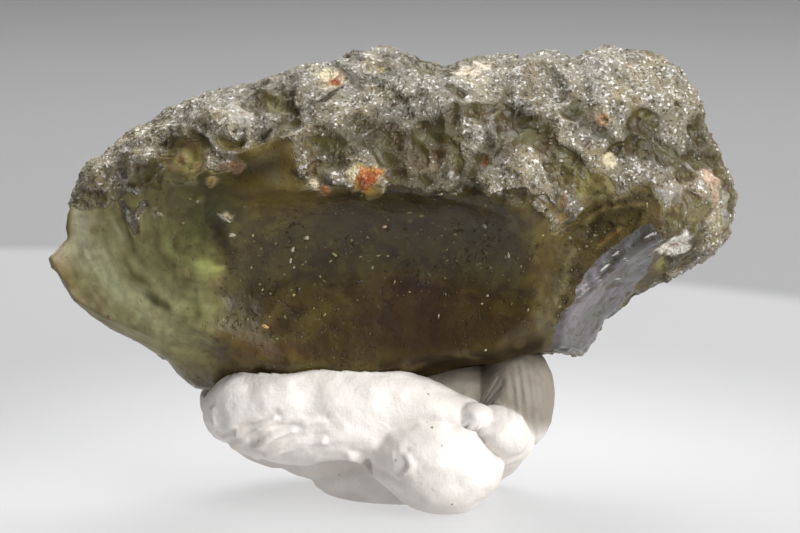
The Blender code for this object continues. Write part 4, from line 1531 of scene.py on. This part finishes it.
def glass_material(look):
    """See-through olive glass: satin on the breaks, frosted with bright grains, which are partly painted
    glints, on the skin's knolls, dark between them, and opaque under its crusts."""
    nodes = Nodes("moldavite glass")
    masks = glass_masks(nodes)
    tint = nodes.attribute("tint", "Color")
    colour = nodes.mix(masks.skin, broken_colour(nodes, look, masks), skin_colour(nodes, look, masks))
    colour = nodes.mix(1.0, colour, tint, "MULTIPLY")
    colour = chip_colours(nodes, look, masks, colour)
    nodes.finish("Base Color", crumb_colours(nodes, look, masks, colour, tint))
    nodes.finish("Transmission Weight", nodes.minus(1.0, glass_opaqueness(nodes, look, masks)))
    nodes.finish("Roughness", glass_roughness(nodes, look, masks))
    nodes.finish("IOR", look.glass_index)
    nodes.finish("Specular IOR Level", look.shine)
    gloss = nodes.most(nodes.times(masks.chip, CHIP_GLOSS), nodes.times(masks.grains, GRAIN_GLOSS))
    nodes.finish("Coat Weight", gloss)
    nodes.finish("Coat Roughness", GLOSS_ROUGHNESS)
    nodes.finish("Normal", nodes.bump(glass_height(nodes, masks), GLASS_BUMP))
    absorb = nodes.new("ShaderNodeVolumeAbsorption")
    nodes.put(absorb.inputs["Color"], look.absorb_colour)
    nodes.put(absorb.inputs["Density"], look.absorb_density)
    nodes.put(nodes.output.inputs["Volume"], absorb.outputs[0])
    return nodes.material


def grain_material():
    """Dry grains, each of its own colour, a little uneven."""
    nodes = Nodes("held grains")
    uneven = nodes.spread(nodes.noise(*HELD_GRAIN_TINT), 0.3, 0.7, 0.6, 1.15)
    nodes.finish("Base Color", nodes.mix(1.0, nodes.attribute("grain_colour", "Color"), uneven, "MULTIPLY"))
    nodes.finish("Roughness", nodes.spread(nodes.noise(*HELD_GRAIN_POLISH), 0.3, 0.7, 0.3, 0.6))
    return nodes.material


def putty_material(look):
    """Matt white putty, darker with painted shade on the ridged rear dome and the other lumps at the back and
    underneath, with tiny dirt specks and a grain.
    """
    nodes = Nodes("mounting putty")
    clouds = nodes.noise(*PUTTY_CLOUDS)
    colour = nodes.mix(nodes.spread(clouds, 0.38, 0.66), look.colour, look.shade)
    # Painted shade on the lumps at the back and underneath.
    colour = nodes.mix(nodes.attribute("painted_shade"), colour, look.painted_shade)
    specks = nodes.spread(nodes.cells(SPECK_STEP).outputs["Distance"], 0.09, 0.05)
    dirt = nodes.times(specks, nodes.spread(clouds, 0.45, 0.6))
    nodes.finish("Base Color", nodes.mix(dirt, colour, DIRT))
    nodes.finish("Roughness", PUTTY_ROUGHNESS)
    nodes.finish("Normal", nodes.bump(nodes.noise(*PUTTY_GRAIN), PUTTY_BUMP))
    return nodes.material


# ---------------------------------------------------------------- settings


def colour_setting(name, description, value):
    """A colour property with the usual limits."""
    return bpy.props.FloatVectorProperty(
        name=name, description=description, subtype="COLOR", default=value, min=0.0, max=1.0)


def share_setting(name, description, value):
    """A property from 0 to 1."""
    return bpy.props.FloatProperty(
        name=name, description=description, subtype="FACTOR", default=value, min=0.0, max=1.0)


class GlassLook(bpy.types.PropertyGroup):
    """Finish of the stone's glass."""

    break_green: colour_setting("Break green", "Green tint of the broken glass", (0.47, 0.44, 0.26))
    break_brown: colour_setting("Break brown", "Brown tint of the broken glass", (0.43, 0.33, 0.19))
    break_pale: colour_setting("Pale flecks", "Pale flecks on the broken glass", (0.50, 0.46, 0.27))
    hollow_green: colour_setting("Hollow green", "Clear hollows between frosted knolls", (0.26, 0.24, 0.09))
    hollow_brown: colour_setting("Hollow brown", "Brown hollows between frosted knolls", (0.18, 0.12, 0.05))
    pit: colour_setting("Pits", "Dark pits between the grains", (0.07, 0.055, 0.03))
    frost_grey: colour_setting("Frost", "Frosted glass between the grains", (0.29, 0.262, 0.205))
    grain_dull: colour_setting("Dull grains", "Duller grains of the frost", (0.36, 0.335, 0.285))
    # Bright grains of the frost, partly painted glints; also the painted highlight on the chip's torn ridges.
    glint_bright: colour_setting("Bright grains", "Brighter grains of the frost", (0.86, 0.84, 0.81))
    chip_colour: colour_setting("Chip", "Fresh chip at the lower corner", (0.19, 0.165, 0.185))
    chip_green: colour_setting("Green chip", "Greener patches of the chip", (0.13, 0.13, 0.115))
    crust_pale: colour_setting("Pale crust", "Paler crumbs in the crusts", (0.80, 0.66, 0.36))
    crust_dark: colour_setting("Dark crust", "Darker crumbs in the crusts", (0.20, 0.035, 0.01))
    absorb_colour: colour_setting("Glass colour", "Light that the glass lets through", (0.42, 0.36, 0.01))
    absorb_density: bpy.props.FloatProperty(
        name="Glass depth", description="Absorption in each metre of glass", default=300.0, min=0.0)
    glass_index: bpy.props.FloatProperty(
        name="Index", description="Refractive index of the glass", default=1.49, min=1.0, max=2.5)
    shine: share_setting("Shine", "Strength of reflections off the glass", 0.09)
    break_roughness: share_setting("Break roughness", "Roughness of the chipped faces", 0.24)
    hollow_roughness: share_setting("Hollow roughness", "Roughness between frosted knolls", 0.3)
    grain_roughness: share_setting("Grain roughness", "Roughness of the frost's grains", 0.35)
    skin_milk: share_setting("Skin milkiness", "Share of light that the clear skin scatters", 0.3)


class PuttyLook(bpy.types.PropertyGroup):
    """Finish of the mounting putty."""

    colour: colour_setting("Putty", "Clean putty", (0.81, 0.765, 0.72))
    shade: colour_setting("Dull putty", "Duller clouds in the putty", (0.72, 0.675, 0.625))
    # Colour of the painted shade on the putty's rear lumps and underside.
    painted_shade: colour_setting("Handled putty", "Putty that was pressed and handled", (0.25, 0.217, 0.175))


class StudioLook(bpy.types.PropertyGroup):
    """Camera, floor and lights."""

    elevation: bpy.props.FloatProperty(
        name="Camera height", description="Angle that the camera looks down by",
        default=math.radians(10.0), subtype="ANGLE")
    lens: bpy.props.FloatProperty(
        name="Lens", description="Focal length in millimetres", default=150.0, min=10.0)
    field: bpy.props.FloatProperty(
        name="Field", description="Width of the view at the stone", default=0.0516, unit="LENGTH")
    floor: colour_setting("Floor", "Pale floor round the stand", (0.19, 0.19, 0.193))
    glow: bpy.props.FloatProperty(
        name="Floor glow", description="Light that comes up through the floor", default=0.43, min=0.0)
    wall: colour_setting("Wall", "Greyer floor and wall farther off", (0.225, 0.225, 0.225))
    top_power: bpy.props.FloatProperty(
        name="Top light", description="Power of the soft light overhead, in watts", default=0.55, min=0.0)
    fill_power: bpy.props.FloatProperty(
        name="Side light", description="Power of the soft light at the right, in watts", default=2.5, min=0.0)
    sky: bpy.props.FloatProperty(
        name="Surround", description="Strength of the plain grey surround", default=0.5, min=0.0)
    back_power: bpy.props.FloatProperty(
        name="Back light", description="Power of the soft light over the backdrop, in watts",
        default=0.95, min=0.0)


# ---------------------------------------------------------------- operators


class MOLDAVITE_OT_stone(bpy.types.Operator):
    """Builds the etched and chipped stone"""

    bl_idname = "moldavite.stone"
    bl_label = "Moldavite stone"

    def execute(self, context):
        points, quads, numbers, colours = shape_stone(*STONE_GRID)
        stone = make_mesh("moldavite_stone", to_world(points), quads)
        add_masks(stone, numbers, colours)
        stone.data.materials.append(glass_material(context.scene.moldavite_glass))
        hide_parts("moldavite")
        return {"FINISHED"}


class MOLDAVITE_OT_grains(bpy.types.Operator):
    """Strews grains and crumbs over the clear glass of the built stone"""

    bl_idname = "moldavite.grains"
    bl_label = "Held grains"

    def execute(self, context):
        points, quads, colours = shape_grains(*self.face(bpy.data.objects["moldavite_stone"]))
        grains = make_mesh("held_grains", to_world(points), quads)
        add_masks(grains, {}, colours)
        grains.data.materials.append(grain_material())
        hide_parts("moldavite")
        return {"FINISHED"}

    def face(self, stone):
        """The stone's points and normals in the leaning frame, where neither skin nor chip lies, and
        where the glass is clear or hackly as well."""
        count = len(stone.data.vertices)
        places, facing = np.empty((2, 3 * count))
        covers = np.empty((4, count))
        stone.data.vertices.foreach_get("co", places)
        stone.data.vertex_normals.foreach_get("vector", facing)
        for name, cover in zip(("skin", "chip", "haze", "hackle"), covers):
            stone.data.attributes[name].data.foreach_get("value", cover)
        bare = 1.0 - np.maximum(covers[0], covers[1])
        open_glass = bare * np.maximum(1.0 - covers[2], covers[3])
        return from_world(places.reshape(-1, 3)), unlean(facing.reshape(-1, 3)), bare, open_glass


class MOLDAVITE_OT_putty(bpy.types.Operator):
    """Builds the lump of mounting putty"""

    bl_idname = "moldavite.putty"
    bl_label = "Mounting putty"

    def execute(self, context):
        points, quads, numbers = shape_putty(*PUTTY_GRID)
        putty = make_mesh("mounting_putty", to_world(points), quads)
        add_masks(putty, numbers, {})
        putty.data.materials.append(putty_material(context.scene.moldavite_putty))
        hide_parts("putty_stand")
        return {"FINISHED"}


def add_light(name, place, target, size, power):
    """An oblong soft light at place, facing target, all in millimetres and watts."""
    data = bpy.data.lights.new(name, "AREA")
    data.shape = "RECTANGLE"
    data.size = size[0] * MM
    data.size_y = size[1] * MM
    data.energy = power
    light = bpy.data.objects.new(name, data)
    bpy.context.scene.collection.objects.link(light)
    aim(light, np.array(place) * MM, np.array(target) * MM)


def aim(item, place, target):
    """Puts an object at place and turns its -Z at target, with +Y as near up as it can be."""
    item.location = Vector(place)
    item.rotation_euler = (Vector(target) - Vector(place)).to_track_quat("-Z", "Y").to_euler()


def shape_floor():
    """A round floor that bends up into a wall: a profile of radius and height, which is flat, then a
    quarter circle, then upright, turned about +Z."""
    turn = np.linspace(0.0, 0.5 * math.pi, FLOOR_BEND_STEPS + 1)
    flat = np.linspace(FLOOR_MIDDLE, FLOOR_RADIUS, FLOOR_STEPS + 1)[:-1]
    far = FLOOR_RADIUS + FLOOR_BEND
    radius = np.concatenate((flat, FLOOR_RADIUS + FLOOR_BEND * np.sin(turn), [far]))
    height = np.concatenate((np.zeros(FLOOR_STEPS), FLOOR_BEND * (1.0 - np.cos(turn)), [WALL_TOP]))
    around = np.linspace(0.0, 2.0 * math.pi, FLOOR_SIDES + 1)[:-1]
    points = np.stack((np.outer(np.cos(around), radius), np.outer(np.sin(around), radius),
                       np.broadcast_to(height, (FLOOR_SIDES, len(height)))), axis=-1)
    number = np.arange(points.shape[0] * points.shape[1]).reshape(points.shape[:2])
    after = np.roll(number, -1, axis=0)
    quads = np.stack((number[:, :-1], number[:, 1:], after[:, 1:], after[:, :-1]), axis=-1)
    return points.reshape(-1, 3) * MM, quads.reshape(-1, 4)


def floor_material(look):
    """Pale floor that turns greyer at a round edge far from the stand. It glows from under, most right
    round the stand and a little more on the right than on the left, and not past the edge."""
    nodes = Nodes("pale floor")
    centred = nodes.new("ShaderNodeMapping")
    nodes.put(centred.inputs["Vector"], nodes.place)
    nodes.put(centred.inputs["Location"], FLOOR_EDGE_SHIFT)
    away = nodes.spread(nodes.length(centred.outputs[0]), *FLOOR_EDGE)
    nodes.finish("Base Color", nodes.mix(away, look.floor, look.wall))
    across = nodes.new("ShaderNodeSeparateXYZ")
    nodes.put(across.inputs[0], nodes.place)
    left, right = GLOW_SIDES
    glow = nodes.spread(across.outputs["X"], -GLOW_TURN, GLOW_TURN, left * look.glow, right * look.glow)
    glow = nodes.spread(nodes.length(nodes.place), *GLOW_FADE, GLOW_NEAR * look.glow, glow)
    nodes.finish("Emission Color", (1.0, 1.0, 1.0))
    nodes.finish("Emission Strength", nodes.spread(away, 0.0, 1.0, glow, 0.0))
    nodes.finish("Roughness", 0.5)
    return nodes.material


class MOLDAVITE_OT_studio(bpy.types.Operator):
    """Builds the pale glowing floor, the soft lights, the grey surround and the camera"""

    bl_idname = "moldavite.studio"
    bl_label = "Plain studio"

    def execute(self, context):
        look = context.scene.moldavite_studio
        floor = make_mesh("studio_floor", *shape_floor(), body=None)
        floor.data.materials.append(floor_material(look))
        self.camera(context, look)
        powers = (look.top_power, look.fill_power, look.back_power)
        for light, power in zip(STUDIO_LIGHTS, powers):
            add_light(*light, power)
        world = bpy.data.worlds.new("surround")
        world.use_nodes = True
        background = world.node_tree.nodes["Background"]
        background.inputs["Color"].default_value = SURROUND
        background.inputs["Strength"].default_value = look.sky
        context.scene.world = world
        context.scene.view_settings.view_transform = "Standard"
        return {"FINISHED"}

    def camera(self, context, look):
        """A long lens looking at the middle of the view, a little right of and under the stone's centre."""
        data = bpy.data.cameras.new("camera")
        data.lens = look.lens
        data.sensor_width = SENSOR_WIDTH
        data.clip_start = 0.01
        camera = bpy.data.objects.new("camera", data)
        context.scene.collection.objects.link(camera)
        distance = look.lens / SENSOR_WIDTH * look.field
        target = to_world(np.array([VIEW_MIDDLE]))[0]
        view = np.array((0.0, math.cos(look.elevation), -math.sin(look.elevation)))
        aim(camera, target - view * distance, target)
        context.scene.camera = camera


class MOLDAVITE_PT_panel(bpy.types.Panel):
    """Lists the object's builders"""

    bl_label = "Moldavite"
    bl_idname = "MOLDAVITE_PT_panel"
    bl_space_type = "VIEW_3D"
    bl_region_type = "UI"
    bl_category = "Moldavite"

    def draw(self, context):
        for operator in OPERATORS:
            self.layout.operator(operator.bl_idname)


OPERATORS = (MOLDAVITE_OT_stone, MOLDAVITE_OT_grains, MOLDAVITE_OT_putty, MOLDAVITE_OT_studio)
LOOKS = {"moldavite_glass": GlassLook, "moldavite_putty": PuttyLook, "moldavite_studio": StudioLook}


def register():
    """Registers the settings, the operators and the panel."""
    for group in (*LOOKS.values(), *OPERATORS, MOLDAVITE_PT_panel):
        bpy.utils.register_class(group)
    for name, group in LOOKS.items():
        setattr(bpy.types.Scene, name, bpy.props.PointerProperty(type=group))


def unregister():
    """Takes away what register added."""
    for name in LOOKS:
        delattr(bpy.types.Scene, name)
    for group in reversed((*LOOKS.values(), *OPERATORS, MOLDAVITE_PT_panel)):
        bpy.utils.unregister_class(group)


def main():
    """Builds every piece and the stage."""
    register()
    bpy.ops.moldavite.stone()
    bpy.ops.moldavite.grains()
    bpy.ops.moldavite.putty()
    bpy.ops.moldavite.studio()


if __name__ == "__main__":
    main()
